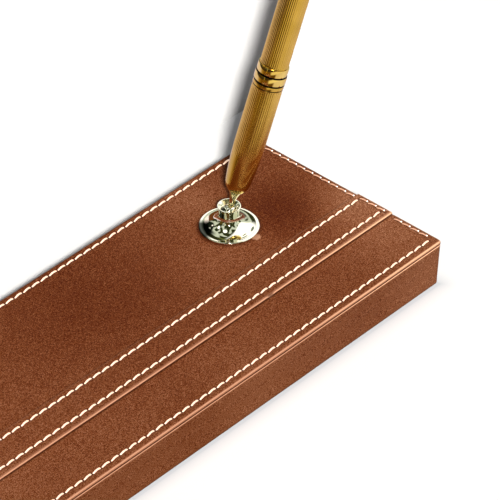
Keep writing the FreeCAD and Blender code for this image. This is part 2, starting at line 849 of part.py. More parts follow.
os.makedirs("parts", exist_ok=True)
for piece in pieces:
    piece.Shape.exportStep("parts/%s.step" % piece.Label)
print("%d sub-parts written" % len(pieces))
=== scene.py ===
import bpy
import bmesh
import math
import numpy as np
from mathutils import Matrix, Vector, noise


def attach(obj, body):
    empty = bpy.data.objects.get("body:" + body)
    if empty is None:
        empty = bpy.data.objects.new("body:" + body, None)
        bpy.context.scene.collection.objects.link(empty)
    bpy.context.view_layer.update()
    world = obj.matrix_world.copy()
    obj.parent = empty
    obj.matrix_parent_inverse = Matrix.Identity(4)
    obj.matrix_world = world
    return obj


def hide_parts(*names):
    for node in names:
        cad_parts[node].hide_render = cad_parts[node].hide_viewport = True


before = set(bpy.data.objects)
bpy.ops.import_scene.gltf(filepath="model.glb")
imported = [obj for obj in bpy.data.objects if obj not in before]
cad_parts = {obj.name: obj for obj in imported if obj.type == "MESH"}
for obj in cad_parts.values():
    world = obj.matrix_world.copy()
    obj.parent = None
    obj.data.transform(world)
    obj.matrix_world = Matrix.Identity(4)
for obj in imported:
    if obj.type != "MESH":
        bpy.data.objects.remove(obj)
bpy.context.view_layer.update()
print("frame loaded")

mm = 0.001


# Camera

cameraSettings = {  # degrees and mm, read off the photograph's edges
    "azimuth": -47.18,
    "elevation": 38.05,
    "distance": 1489.1,
    "aim": (104.73, 32.67, -14.41),
    "lens": 260.08,
    "sensor": 36.0,
    "clip": (0.05, 20.0),   # metres
}


def unitFrom(azimuth, elevation):
    turn, rise = math.radians(azimuth), math.radians(elevation)
    return Vector((math.sin(turn) * math.cos(rise), -math.cos(turn) * math.cos(rise),
                   math.sin(rise)))


def newObject(name, data):
    piece = bpy.data.objects.new(name, data)
    bpy.context.scene.collection.objects.link(piece)
    return piece


def standAway(piece, aim, azimuth, elevation, distance):
    # Puts a camera or lamp at a distance in mm from its aim and turns it there.
    back = unitFrom(azimuth, elevation)
    piece.location = Vector(aim) * mm + back * distance * mm
    piece.rotation_mode = "QUATERNION"
    piece.rotation_quaternion = (-back).to_track_quat("-Z", "Y")


def makeCamera(s):
    data = bpy.data.cameras.new("photoCamera")
    data.sensor_width = s["sensor"]
    data.lens = s["lens"]
    data.clip_start, data.clip_end = s["clip"]
    camera = newObject("photoCamera", data)
    standAway(camera, s["aim"], s["azimuth"], s["elevation"], s["distance"])
    bpy.context.scene.camera = camera


makeCamera(cameraSettings)
print("camera set")


# Node helpers

class Nodes:
    # Short hand for the node tree of a material or world, or for a node group.

    def __init__(self, owner):
        self.owner = owner
        self.tree = getattr(owner, "node_tree", owner)

    def put(self, socket, value):
        if isinstance(value, bpy.types.NodeSocket):
            self.tree.links.new(value, socket)
        elif socket.type == "RGBA" and len(value) == 3:
            socket.default_value = (*value, 1.0)
        else:
            socket.default_value = value

    def add(self, kind, links=None, **settings):
        # Shader nodes are named without their prefix, other kinds in full.
        node = self.tree.nodes.new(kind if "Node" in kind else "ShaderNode" + kind)
        for key, value in settings.items():
            setattr(node, key, value)
        for key, value in (links or {}).items():
            self.put(node.inputs[key], value)
        return node

    def out(self, kind, links=None, output=0, **settings):
        return self.add(kind, links, **settings).outputs[output]

    def geo(self, kind, links=None, output=0, **settings):
        return self.out("GeometryNode" + kind, links, output, **settings)

    def coords(self, kind="Object"):
        return self.out("TexCoord", output=kind)

    def attribute(self, name, output="Fac"):
        return self.out("Attribute", output=output, attribute_name=name)

    def mapped(self, vector, scale):
        return self.out("Mapping", {"Vector": vector, "Scale": scale})

    def noise(self, vector, size, detail=2.0, rough=0.5, distort=0.0):
        # Noise whose blobs are about size mm across in Object coordinates.
        return self.out("TexNoise", {"Vector": vector, "Scale": 1.0 / (size * mm),
                                     "Detail": detail, "Roughness": rough,
                                     "Distortion": distort}, "Fac")

    def ramp(self, factor, stops):
        node = self.add("ValToRGB", {"Fac": factor})
        ramp = node.color_ramp
        while len(ramp.elements) < len(stops):
            ramp.elements.new(0.5)
        for element, (place, colour) in zip(ramp.elements, stops):
            element.position = place
            element.color = (*colour, 1.0)
        return node.outputs["Color"]

    def span(self, factor, fromLow, fromHigh, toLow=0.0, toHigh=1.0, kind="LINEAR"):
        return self.out("MapRange", {"Value": factor, "From Min": fromLow,
                                     "From Max": fromHigh, "To Min": toLow,
                                     "To Max": toHigh}, "Result", interpolation_type=kind)

    def maths(self, operation, *values):
        return self.out("Math", dict(enumerate(values)), operation=operation)

    def plus(self, first, second):
        return self.maths("ADD", first, second)

    def less(self, first, second):
        return self.maths("SUBTRACT", first, second)

    def times(self, first, second):
        return self.maths("MULTIPLY", first, second)

    def longest(self, x, y):
        # Length of the vector (x, y).
        return self.maths("SQRT", self.plus(self.times(x, x), self.times(y, y)))

    def vector(self, operation, *values):
        output = "Value" if operation in ("LENGTH", "DOT_PRODUCT") else "Vector"
        return self.out("VectorMath", dict(enumerate(values)), output, operation=operation)

    def scaled(self, vector, factor):
        return self.out("VectorMath", {0: vector, "Scale": factor}, operation="SCALE")

    def split(self, vector):
        return self.add("SeparateXYZ", {"Vector": vector}).outputs

    def mix(self, factor, first, second):
        return self.out("Mix", {0: factor, 6: first, 7: second}, 2, data_type="RGBA")

    def either(self, factor, first, second):
        return self.out("MixShader", {0: factor, 1: first, 2: second})

    def bump(self, height, strength, depth):
        # Bump whose height of 1 stands depth mm proud.
        return self.add("Bump", {"Height": height, "Strength": strength,
                                 "Distance": depth * mm})

    def set(self, **values):
        shader = self.tree.nodes["Principled BSDF"]
        for key, value in values.items():
            self.put(shader.inputs[key.replace("_", " ")], value)
        return shader


def newMaterial(name):
    material = bpy.data.materials.new(name)
    material.use_nodes = True
    return Nodes(material)


# Materials

leatherSettings = {
    # From dark to light
    "shades": ((0.050, 0.006, 0.001), (0.105, 0.0195, 0.0028), (0.162, 0.044, 0.0125),
               (0.235, 0.081, 0.033), (0.335, 0.138, 0.070), (0.47, 0.24, 0.14)),
    "topLevel": 0.27,             # 0 dark, 1 light, spread over the middle four shades
    # The sides use a lighter level than the top, partly their own tone and partly painted light
    # so that they show as bright as the top
    "sideLevel": 0.34,
    "cloud": (45.0, 0.05),        # mm across and change of level
    "mottle": (4.0, 0.014),
    "speck": (0.31, 0.72),
    "grain": (0.85, 0.03, -0.07),   # mm across, change inside a pebble and at its rim
    "wrinkle": (1.8, 0.8),        # mm across and share of the grain's height
    "grainBump": (0.17, 0.05),    # strength and depth in mm
    "speckBump": (0.20, 0.02),
    "peach": ((0.56, 0.275, 0.165), (0.90, 0.50, 0.30)),   # painted highlight on the rounded edges, left and right
    "peachFrom": (40.0, 124.0),   # where the left one ends and the right one is reached
    # Colour of the painted shade in grooves, creases and gaps
    "crease": (0.035, 0.008, 0.002),
    "creaseDark": 0.85,           # how far the painted shade covers the leather in grooves and creases
    "roughness": (0.50, 0.64),
    "shine": 0.07,
    "patches": [                  # painted light and shadow, such as the pens' shadows beside the holders: x, y, reach in mm and change
        (122.0, -30.0, 30.0, 0.34),
        (122.0, -4.0, 18.0, 0.34),
        (99.0, 10.0, 19.0, -0.46),
        (76.0, 41.0, 17.0, 0.32),
        (55.0, 6.0, 22.0, 0.14),
        (5.0, 30.0, 38.0, -0.26),
        (-60.0, -32.0, 50.0, 0.12),
        (-122.0, -20.0, 34.0, 0.36),
        (-99.0, 10.0, 19.0, -0.46),
        (20.0, -52.0, 26.0, 0.16),
        (-76.0, 41.0, 17.0, 0.36),
        (75.0, 17.6, 9.1, -8.0),
        (78.3, 4.9, 1.7, 3.6),
    ],
}


def makeLeather(name, s, base):
    n = newMaterial(name)
    place = n.coords()
    (cloudSize, cloudy), (mottleSize, mottled) = s["cloud"], s["mottle"]
    (speckSize, specked), (grainSize, *grainLevels) = s["speck"], s["grain"]
    wrinkleSize, wrinkled = s["wrinkle"]
    mottle = n.noise(place, mottleSize, 3.0, 0.6)
    speck = n.noise(place, speckSize, 1.0, 0.6)
    grain = n.out("TexVoronoi", {"Vector": place, "Scale": 1.0 / (grainSize * mm),
                                 "Smoothness": 0.35}, "Distance", feature="SMOOTH_F1")
    wrinkle = n.noise(place, wrinkleSize, 4.0, 0.65, 0.8)
    level = n.span(n.noise(place, cloudSize, 2.0, 0.55), 0.25, 0.75, base - cloudy,
                   base + cloudy)
    # Painted light and shadow in patches
    for x, y, reach, change in s["patches"]:
        spot = n.vector("MULTIPLY_ADD", place, (1 / (reach * mm), 1 / (reach * mm), 0.0),
                        (-x / reach, -y / reach, 0.0))
        level = n.plus(level, n.span(n.vector("LENGTH", spot), 1.5, 0.0, 0.0, change,
                                     "SMOOTHSTEP"))
    level = n.plus(level, n.span(mottle, 0.3, 0.7, -mottled, mottled))
    level = n.plus(level, n.span(speck, 0.3, 0.7, -specked, specked))
    level = n.plus(level, n.span(grain, 0.1, 0.9, *grainLevels))
    shades = s["shades"]
    colour = n.ramp(n.span(level, -1 / 3, 4 / 3),
                    [(index / (len(shades) - 1), shade) for index, shade in enumerate(shades)])
    # Painted highlight on the rounded edges, brighter to the right
    toRight = n.span(n.split(place)["X"], *[x * mm for x in s["peachFrom"]])
    colour = n.mix(n.attribute("worn"), colour, n.mix(toRight, *s["peach"]))
    # Painted shade in grooves and creases
    colour = n.mix(n.times(n.attribute("deep"), s["creaseDark"]), colour, s["crease"])
    height = n.plus(n.span(grain, 0.0, 0.9, 1.0, 0.0), n.times(wrinkle, wrinkled))
    pebbled = n.bump(height, *s["grainBump"])
    specks = n.bump(speck, *s["speckBump"])
    n.put(specks.inputs["Normal"], pebbled.outputs[0])
    n.set(Base_Color=colour, Roughness=n.span(mottle, 0.3, 0.7, *s["roughness"]),
          Normal=specks.outputs[0], Specular_IOR_Level=s["shine"])
    return n.owner


threadSettings = {
    "white": (1.0, 1.0, 1.0),
    "fibre": (0.92, 0.91, 0.90),
    "soiled": (0.80, 0.74, 0.68),
    "sunk": (0.62, 0.36, 0.20),   # where the thread goes into the leather
    "tan": (0.62, 0.33, 0.20),    # thread of the end rows
    "glow": (1.1, 0.15),          # painted light, the thread glows by itself: white thread and tan thread
    "fibreGrain": (0.12, 0.30),   # mm across and how far it covers the thread
    "soil": (3.0, 0.15),
    "sunkCover": 0.8,
    "fibreBump": (0.5, 0.04),     # strength and depth in mm
}


def makeThread(s):
    n = newMaterial("whiteThread")
    (fibreSize, fibred), (soilSize, soiled) = s["fibreGrain"], s["soil"]
    fibre = n.noise(n.coords(), fibreSize, 3.0, 0.7)
    soil = n.noise(n.coords(), soilSize)
    colour = n.mix(n.span(fibre, 0.3, 0.7, 0.0, fibred), s["white"], s["fibre"])
    colour = n.mix(n.span(soil, 0.50, 0.80, 0.0, soiled), colour, s["soiled"])
    colour = n.mix(n.times(n.attribute("sunk"), s["sunkCover"]), colour, s["sunk"])
    tan = n.attribute("tan")
    colour = n.mix(tan, colour, s["tan"])
    # The thread glows by itself, painted light that makes it show whiter
    n.set(Base_Color=colour, Roughness=0.6, Normal=n.bump(fibre, *s["fibreBump"]).outputs[0],
          Emission_Color=colour, Emission_Strength=n.span(tan, 0.0, 0.7, *s["glow"]))
    return n.owner


# Each metal has its colour, a darker shade for its clouds and its roughness. Streak is how
# far lines drawn along it show. Lines are the height and half width in mm of grooves painted
# dark as shade. A side shade is painted shade low down on one side: its direction, its top in
# mm and how dark it is.
metalSettings = {
    "mirrorBrass": {"colour": (0.96, 0.93, 0.80), "shade": (0.86, 0.80, 0.60), "rough": 0.04,
                    "stain": ((-0.87, 0.49, 0.0), 1.6, 0.96)},
    "brightGold": {"colour": (0.92, 0.70, 0.26), "shade": (0.74, 0.50, 0.12), "rough": 0.05,
                   "lines": ((61.5, 0.44), (65.32, 0.38))},
    "paleGold": {"colour": (0.96, 0.88, 0.60), "shade": (0.52, 0.38, 0.10), "rough": 0.04},
    "flutedGold": {"colour": (0.78, 0.52, 0.14), "shade": (0.56, 0.36, 0.05), "rough": 0.14,
                   "streak": 0.6, "lines": ((59.3, 0.14), (61.5, 0.44))},
    "plainSteel": {"colour": (0.58, 0.57, 0.55), "shade": (0.46, 0.45, 0.44), "rough": 0.30},
    "innerBrass": {"colour": (0.20, 0.13, 0.05), "shade": (0.12, 0.08, 0.03), "rough": 0.45},
    "refillSteel": {"colour": (0.62, 0.62, 0.62), "shade": (0.5, 0.5, 0.5), "rough": 0.28},
}
metalFinish = {   # the same for all metals
    "cloud": (9.0, 0.55, 0.04),    # mm across, cover of the shade and added roughness
    "dust": (0.5, 0.06),           # mm across and added roughness
    "drawn": ((38.0, 38.0, 0.7), 0.010),    # scale round and along a barrel, depth in mm
    "lathed": ((0.4, 0.4, 60.0), 0.006),    # the same for rings left by the lathe
    "relief": 0.18,
    # Colours of the painted shade in grooves and on one side
    "groove": (0.010, 0.005, 0.002),
    "stain": (0.015, 0.02, 0.016),
}


def makeMetal(name, colour, shade, rough, streak=0.0, lines=(), stain=None):
    # Turned metal. The vector "turned" holds the direction from the axis and the height in cm.
    n, s = newMaterial(name), metalFinish
    turned = n.attribute("turned", "Vector")
    height = n.split(turned)["Z"]
    (cloudSize, shaded, smudge), (dustSize, dusty) = s["cloud"], s["dust"]
    cloud = n.noise(n.coords(), cloudSize, 3.0, 0.55)
    tint = n.mix(n.span(cloud, 0.35, 0.70, 0.0, shaded), colour, shade)
    scale, depth = s["drawn"] if streak else s["lathed"]
    marks = n.noise(n.mapped(turned, scale), 1000.0, 3.0 if streak else 2.0, 0.6)
    if streak:
        tint = n.mix(n.span(marks, 0.40, 0.68, 0.0, streak), tint, shade)
    # Grooves are painted dark as shade
    for level, half in lines:
        away = n.maths("ABSOLUTE", n.less(height, level / 10))
        tint = n.mix(n.span(away, half / 10, half / 12), tint, s["groove"])
    # Painted shade low down on one side
    if stain:
        toward, level, dark = stain
        spread = n.span(n.vector("DOT_PRODUCT", turned, toward), 0.80, 0.93, 0.0, dark)
        below = n.span(height, level / 9, level / 11)
        tint = n.mix(n.times(spread, below), tint, s["stain"])
    dust = n.noise(n.coords(), dustSize, 3.0, 0.6)
    level = n.plus(n.span(cloud, 0.3, 0.7, rough, rough + smudge),
                   n.span(dust, 0.60, 0.85, 0.0, dusty))
    normal = n.bump(marks, s["relief"], depth).outputs[0]
    n.set(Base_Color=tint, Metallic=1.0, Roughness=level, Normal=normal,
          Specular_IOR_Level=0.5)
    return n.owner


plainSettings = {   # two colours, roughness, then size and depth of the grain in mm
    "brownFelt": ((0.050, 0.032, 0.022), (0.085, 0.058, 0.040), 0.95, 0.5, 0.25),
    "pressedBoard": ((0.42, 0.28, 0.16), (0.30, 0.19, 0.10), 0.85, 0.8, 0.1),
    "paleNylon": ((0.78, 0.76, 0.70), (0.70, 0.67, 0.60), 0.45, 0.3, 0.01),
    "darkPlastic": ((0.035, 0.035, 0.038), (0.05, 0.05, 0.05), 0.42, 0.3, 0.01),
}


def makePlain(name, colour, other, rough, size, depth):
    # Moulded, pressed or woven stuff with a grain of its own size.
    n = newMaterial(name)
    fine = n.noise(n.coords(), size, 4.0, 0.65)
    broad = n.noise(n.coords(), size * 12)
    tint = n.mix(n.span(fine, 0.35, 0.7, 0.0, 0.7), colour, other)
    tint = n.mix(n.span(broad, 0.35, 0.7, 0.0, 0.4), tint, other)
    n.set(Base_Color=tint, Normal=n.bump(fine, 0.5, depth).outputs[0],
          Roughness=n.span(fine, 0.3, 0.7, rough - 0.06, rough + 0.06))
    return n.owner


leather = makeLeather("tanLeather", leatherSettings, leatherSettings["topLevel"])
# A lighter copy of the leather for the sides, partly painted light
sideLeather = makeLeather("sideLeather", leatherSettings, leatherSettings["sideLevel"])
thread = makeThread(threadSettings)
stuffs = {name: makeMetal(name, **values) for name, values in metalSettings.items()}
for name, values in plainSettings.items():
    stuffs[name] = makePlain(name, *values)
print("materials made")


# Mesh helpers

def makeMesh(name, points, faces, edges=(), **layers):
    # Mesh from points in metres, with a layer of numbers or vectors for each name.
    mesh = bpy.data.meshes.new(name)
    mesh.from_pydata(points, edges, faces)
    mesh.update()
    for key, values in layers.items():
        values = np.asarray(values, dtype=np.float32)
        kind, field = (("FLOAT", "value") if values.ndim == 1 else ("FLOAT_VECTOR", "vector"))
        layer = mesh.attributes.new(key, kind, "POINT")
        layer.data.foreach_set(field, values.ravel())
    return mesh


def addPiece(name, mesh, material, body, slot, *nodes):
    piece = newObject(name, mesh)
    if material is not None:
        mesh.materials.append(material)
    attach(piece, body)
    if nodes:
        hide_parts(*nodes)
    return piece


def smoothMesh(mesh, angle):
    mesh.shade_smooth()
    mesh.set_sharp_from_angle(angle=math.radians(angle))


def arcPoints(start, finish, radius, turn, steps):
    # Points of an arc from start up to but without finish; turn is 1 or -1.
    a, b = Vector(start), Vector(finish)
    chord = b - a
    half = chord.length / 2
    left = Vector((-chord.y, chord.x)).normalized()
    centre = (a + b) / 2 + left * math.sqrt(max(radius * radius - half * half, 0.0)) * turn
    first = math.atan2(a.y - centre.y, a.x - centre.x)
    sweep = math.atan2(b.y - centre.y, b.x - centre.x) - first
    while sweep * turn < 0:
        sweep += math.tau * turn
    return [(centre.x + radius * math.cos(first + sweep * i / steps),
             centre.y + radius * math.sin(first + sweep * i / steps)) for i in range(steps)]


def profileOf(points, steps=14):
    # Turns (x, y) and (x, y, radius, turn) corners into a fine closed outline.
    outline = []
    for point, after in zip(points, points[1:] + points[:1]):
        if len(point) == 2:
            outline.append(point)
        else:
            outline += arcPoints(point[:2], after[:2], *point[2:], steps)
    return outline


def softCorners(outline, radius, least=24.0):
    # Rounds each corner of a closed outline that is sharper than least degrees.
    result = []
    for index, here in enumerate(outline):
        here, before = Vector(here), Vector(outline[index - 1])
        after = Vector(outline[(index + 1) % len(outline)])
        back, on = before - here, after - here
        bend = math.degrees(math.pi - back.angle(on)) if back.length and on.length else 0.0
        if bend < least or here.x < 1e-9:
            result.append(tuple(here))
            continue
        reach = min(radius, back.length * 0.4, on.length * 0.4)
        a, b = here + back.normalized() * reach, here + on.normalized() * reach
        for step in (0.0, 0.34, 0.66, 1.0):
            result.append(tuple(a.lerp(here, step).lerp(here.lerp(b, step), step)))
    return result


def spunMesh(name, outline, segments):
    # Spins a closed outline of (radius, height) in mm about Z, closed at the axis.
    circle = [(math.cos(a), math.sin(a)) for a in np.arange(segments) * (math.tau / segments)]
    rings, points, turned = [], [], []
    for radius, height in outline:
        ways = circle if radius > 1e-6 else [(0.0, 0.0)]
        rings.append(list(range(len(points), len(points) + len(ways))))
        points += [Vector((radius * c, radius * s, height)) * mm for c, s in ways]
        turned += [(c, s, height / 10) for c, s in ways]
    faces = []
    for ring, after in zip(rings, rings[1:] + rings[:1]):
        if len(ring) == len(after) == 1:
            continue
        for i in range(segments):
            j = (i + 1) % segments
            if len(ring) == 1:
                faces.append((ring[0], after[j], after[i]))
            elif len(after) == 1:
                faces.append((ring[i], ring[j], after[0]))
            else:
                faces.append((ring[i], ring[j], after[j], after[i]))
    mesh = makeMesh(name, points, faces, turned=turned)
    work = bmesh.new()
    work.from_mesh(mesh)
    bmesh.ops.recalc_face_normals(work, faces=work.faces)
    work.to_mesh(mesh)
    work.free()
    return mesh


# Base: sizes and rows of stitches

baseSettings = {
    "length": 254.0,
    "depth": 101.6,
    "topFace": 22.2,
    "topThick": 1.9,
    "corner": 1.6,
    "upperRound": 1.1,
    "lowerRound": 0.45,
    "sag": (34.0, 0.14),        # how the leather dips between its seams: mm across and deep
    "sagFromHolder": (13.0, 8.0),   # where the dips begin and over how much they grow
    "sagFromEdge": 6.0,
    "meets": (0.45, 0.12, 0.8),     # where it meets the band: half width, depth and darkness of the painted shade
    "holderMark": (12.6, 0.7, 0.5),   # painted shadow round the foot of a holder: radius, half width, darkness
    "worn": (0.32, 0.26, 0.25),     # painted highlight on the rounded edge: from the edge, half width and share left at the back
}
halfLength, halfDepth = baseSettings["length"] / 2, baseSettings["depth"] / 2
topFace = baseSettings["topFace"]
topFoot = topFace - baseSettings["topThick"]

bandSettings = {
    "width": 18.4,
    "thick": 0.95,
    "fromFront": 25.7,
    "endGap": 0.5,
    "corner": 0.5,
    "upperRound": 0.42,
    "lowerRound": 0.2,
    "buried": 0.1,         # how far it goes into the leather top
    "waves": (26.0, 0.05, 4.0),    # mm across, deep and from the edge to their full depth
    "nick": (54.6, 1.6, 1.6, 0.63),   # along the band, half width, reach inwards and depth
    # How dark the nick is painted as shade
    "nickDark": 0.9,
    "pressed": 0.03,       # below the face, so that no wave stands above it
    # Painted highlight on the rounded edge: from the edge, half width and share left at the
    # back
    "worn": (0.15, 0.30, 0.2),
}
bandFront = bandSettings["fromFront"] - halfDepth
bandBack = bandFront + bandSettings["width"]
bandFace = topFace + bandSettings["thick"]

holderSettings = {
    "spread": 152.0,
    "fromBack": 33.4,
}
holderX = holderSettings["spread"] / 2
holderY = halfDepth - holderSettings["fromBack"]

stitchSettings = {
    "pitch": 4.75,
    "endPitch": 0.94,     # pitch of the end rows as a share of that
    "long": {"length": 3.75, "thick": 0.76, "knot": 0.0, "tan": 0.0},
    "end": {"length": 3.9, "thick": 0.56, "knot": 0.26, "tan": 0.85},   # knot: its radius
    "slant": 6.5,         # degrees off the row
    "lift": 0.22,         # how far a stitch stands proud of the leather
    "groove": (0.26, 0.66, 0.7),   # depth, half width and darkness of the painted shade
    "hole": (0.30, 0.55, 0.5),     # depth, half length and half width; holes are painted dark as shade
    "backRow": 3.0,       # from the back edge
    "frontRow": 3.8,      # from the front edge
    "endRow": 2.2,        # from each end
    "clear": 0.6,         # from the ends of the long rows to the end rows
    "fade": 0.6,          # how far a groove goes on past its row
    "bandRows": (60.2, 72.0),
}
rowBack = halfDepth - stitchSettings["backRow"]
rowFront = stitchSettings["frontRow"] - halfDepth
rowEnd = halfLength - stitchSettings["endRow"]
bandRows = [halfDepth - fromBack for fromBack in stitchSettings["bandRows"]]
longPitch = stitchSettings["pitch"]
shortPitch = longPitch * stitchSettings["endPitch"]


def fitRow(start, finish, level, pitch):
    # The row shortened at both ends to whole stitches.
    a, b = Vector(start), Vector(finish)
    length = (b - a).length
    spare = (length - math.floor(length / pitch) * pitch) / 2
    step = (b - a).normalized() * spare
    return tuple(a + step), tuple(b - step), level


rowReach = rowEnd - stitchSettings["clear"]
longRows = [fitRow((-rowReach, y), (rowReach, y), level, longPitch) for y, level in
            [(rowBack, topFace), (rowFront, topFace)] + [(y, bandFace) for y in bandRows]]
shortRows = [fitRow((end * rowEnd, first), (end * rowEnd, last), level, shortPitch)
             for end in (-1, 1)
             for first, last, level in ((rowFront + 0.2, bandFront - 0.2, topFace),
                                        (bandFront + 0.9, bandBack - 0.6, bandFace),
                                        (bandBack + 0.4, rowBack - 0.2, topFace))]


def bell(distance, width, power=2):
    # 1 at no distance, falling to nothing past the width.
    return np.exp(-(distance / width) ** power)


def seamDrop(x, y, level):
    # How far the leather is pulled down by the rows at this level, and how dark their grooves
    # and holes are painted as shade.
    drop, dark = np.zeros_like(x), np.zeros_like(x)
    grooveDeep, grooveWide, grooveShade = stitchSettings["groove"]
    holeDeep, holeLong, holeWide = stitchSettings["hole"]
    for (ax, ay), finish, height in longRows + shortRows:
        if abs(height - level) > 0.01:
            continue
        dx, dy = finish[0] - ax, finish[1] - ay
        length = math.hypot(dx, dy)
        dx, dy = dx / length, dy / length
        t = (x - ax) * dx + (y - ay) * dy
        across = np.abs((x - ax) * -dy + (y - ay) * dx)
        inside = np.clip(np.minimum(t, length - t) / stitchSettings["fade"] + 1.0, 0.0, 1.0)
        groove = bell(across, grooveWide) * inside
        gap = longPitch if ay == finish[1] else shortPitch
        fromHole = np.abs((t + gap / 2) % gap - gap / 2)
        hole = np.exp(-(fromHole / holeLong) ** 2 - (across / holeWide) ** 2) * inside
        drop = np.maximum(drop, grooveDeep * groove + holeDeep * hole)
        dark = np.maximum(dark, np.clip(groove * grooveShade + hole, 0.0, 1.0))
    return drop, dark


# Base: leather top, band and felt as fine sheets

def gridLines(reach, step, marks):
    # Places from -reach to reach, closer together round the marks.
    near, fine = 1.6, 0.25
    places = list(np.arange(-reach, reach, step)) + [reach]
    for mark in marks:
        places = [p for p in places if abs(p - mark) > near]
        places += list(np.arange(mark - near, mark + near + fine / 2, fine))
    return sorted(p for p in set(np.round(places, 4)) if abs(p) < reach - 0.02)


def roundOver(radius, steps):
    # Pairs (inward, fall) of a quarter round from a flat face's rim outwards and down.
    angles = [math.pi / 2 * i / steps for i in range(steps + 1)]
    return [(radius * (1 - math.cos(a)), radius * math.sin(a)) for a in angles]


rimDark = 0.35   # painted shade at a sheet's edge


def sheetMesh(name, middleY, half, foot, face, s, marks, shape, steps=(0.7, 1.0)):
    # A slab with rounded edges whose upper face is a fine grid. Shape gives how far each
    # point of the face drops, how dark it is painted as shade and how much painted highlight it
    # has.
    upper, corner = s["upperRound"], s["corner"]
    edge = [inward for inward, fall in roundOver(upper, 6)]
    lines = [np.array([e - reach for e in edge] + gridLines(reach - upper, step, near)
                      + [reach - e for e in reversed(edge)])
             for reach, step, near in zip(half, steps, marks)]
    gx, gy = np.meshgrid(*lines, indexing="ij")
    # The square corners of the grid are pressed into round ones
    cx, cy = half[0] - corner, half[1] - corner
    a = np.clip((np.abs(gx) - cx) / corner, 0, 1)
    b = np.clip((np.abs(gy) - cy) / corner, 0, 1)
    both = (a > 0) & (b > 0)
    x = np.where(both, np.sign(gx) * (cx + corner * a * np.sqrt(1 - b * b / 2)), gx)
    y = np.where(both, np.sign(gy) * (cy + corner * b * np.sqrt(1 - a * a / 2)), gy)
    qx, qy = np.abs(x) - cx, np.abs(y) - cy
    outside = np.hypot(np.maximum(qx, 0), np.maximum(qy, 0))
    inset = np.clip(corner - outside - np.minimum(np.maximum(qx, qy), 0), 0.0, None)
    fall = np.where(inset < upper, upper - np.sqrt(np.clip(
        upper ** 2 - (upper - np.minimum(inset, upper)) ** 2, 0, None)), 0.0)
    y = y + middleY
    drop, deep, worn = shape(x, y, inset)
    points = np.stack([x, y, face - fall - drop], -1).reshape(-1, 3)
    index = np.arange(gx.size).reshape(gx.shape)
    faces = np.stack([index[:-1, :-1], index[1:, :-1], index[1:, 1:], index[:-1, 1:]],
                     -1).reshape(-1, 4).tolist()
    # The sides go down from the rim of the grid and round in to the foot
    rim = (list(index[:, 0]) + list(index[-1, 1:]) + list(index[-2::-1, -1])
           + list(index[0, -2:0:-1]))
    ring = points[rim]
    local = ring[:, :2] - (0, middleY)
    normal = np.sign(local) * np.maximum(np.abs(local) - (cx, cy), 0)
    normal /= np.maximum(np.linalg.norm(normal, axis=1, keepdims=True), 1e-9)
    rings, previous, total = [points], rim, len(points)
    deep = deep.ravel()
    # The rim is painted partly in shade
    deep[rim] = rimDark
    lower = s["lowerRound"]
    wallFoot, wallTop = foot + lower, face - upper
    levels = [(0.0, wallTop - (wallTop - wallFoot) * t) for t in (0.5, 1.0)]
    levels += [(inward, wallFoot - fall) for inward, fall in roundOver(lower, 4)[1:]]
    for inward, level in levels:
        rings.append(np.column_stack([ring[:, :2] - normal * inward,
                                      np.full(len(rim), level)]))
        here = list(range(total, total + len(rim)))
        total += len(rim)
        faces += zip(previous[1:] + previous[:1], previous, here, here[1:] + here[:1])
        previous = here
    faces.append(tuple(reversed(previous)))
    sides = total - len(points)
    # The sides are painted in full shade and have no painted highlight
    mesh = makeMesh(name, (np.concatenate(rings) * mm).tolist(), faces,
                    worn=np.concatenate([worn.ravel(), np.zeros(sides)]),
                    deep=np.concatenate([deep, np.ones(sides)]))
    smoothMesh(mesh, 50)
    return mesh


def softNoise(x, y, size, seed):
    # Smooth noise between about -1 and 1 over arrays of mm.
    flat = [noise.noise((a / size, b / size, seed)) for a, b in zip(np.ravel(x), np.ravel(y))]
    return np.array(flat).reshape(np.shape(x))


def topShape(x, y, inset):
    drop, dark = seamDrop(x, y, topFace)
    fromHolder = np.hypot(np.abs(x) - holderX, y - holderY)
    begin, ease = baseSettings["sagFromHolder"]
    calm = (np.clip((fromHolder - begin) / ease, 0.0, 1.0)
            * np.clip(inset / baseSettings["sagFromEdge"], 0.0, 1.0))
    calm[(y > bandFront - 1.0) & (y < bandBack + 1.0)] = 0.0
    across, deep = baseSettings["sag"]
    waves = (softNoise(x, y, across, 1.7) + 1.0) * 0.5 * deep
    # The leather meets the band in a dark line of painted shade
    meetsWide, meetsDeep, meetsDark = baseSettings["meets"]
    meets = bell(np.minimum(np.abs(y - bandFront), np.abs(y - bandBack)), meetsWide)
    # Painted shadow round the foot of each holder
    radius, ringWide, ringDark = baseSettings["holderMark"]
    ring = bell(fromHolder - radius, ringWide)
    # Painted highlight on the rounded edge, stronger at the front
    place, wide, back = baseSettings["worn"]
    worn = bell(inset - place, wide) * np.where(y < 0, 1.0, back)
    return (drop + waves * calm + meets * meetsDeep,
            np.clip(dark + meets * meetsDark + ring * ringDark, 0, 1), worn)


def bandShape(x, y, inset):
    drop, dark = seamDrop(x, y, bandFace)
    # A nick in the front edge, painted dark as shade inside
    place, wide, inward, depth = bandSettings["nick"]
    nick = bell(x - place, wide, 4) * np.clip(1.0 - (y - bandFront) / inward, 0.0, 1.0)
    across, deep, ease = bandSettings["waves"]
    waves = softNoise(x, y, across, 5.1) * deep * np.clip(inset / ease, 0.0, 1.0)
    # Painted highlight on the rounded edge, stronger at the front
    edge, wide, back = bandSettings["worn"]
    worn = bell(inset - edge, wide) * np.where(y < bandFront + 3, 1.0, back)
    return (drop + nick * depth + waves + bandSettings["pressed"],
            np.clip(dark + nick * bandSettings["nickDark"], 0, 1), worn)


def feltShape(x, y, inset):
    return np.zeros_like(x), np.zeros_like(x), np.zeros_like(x)


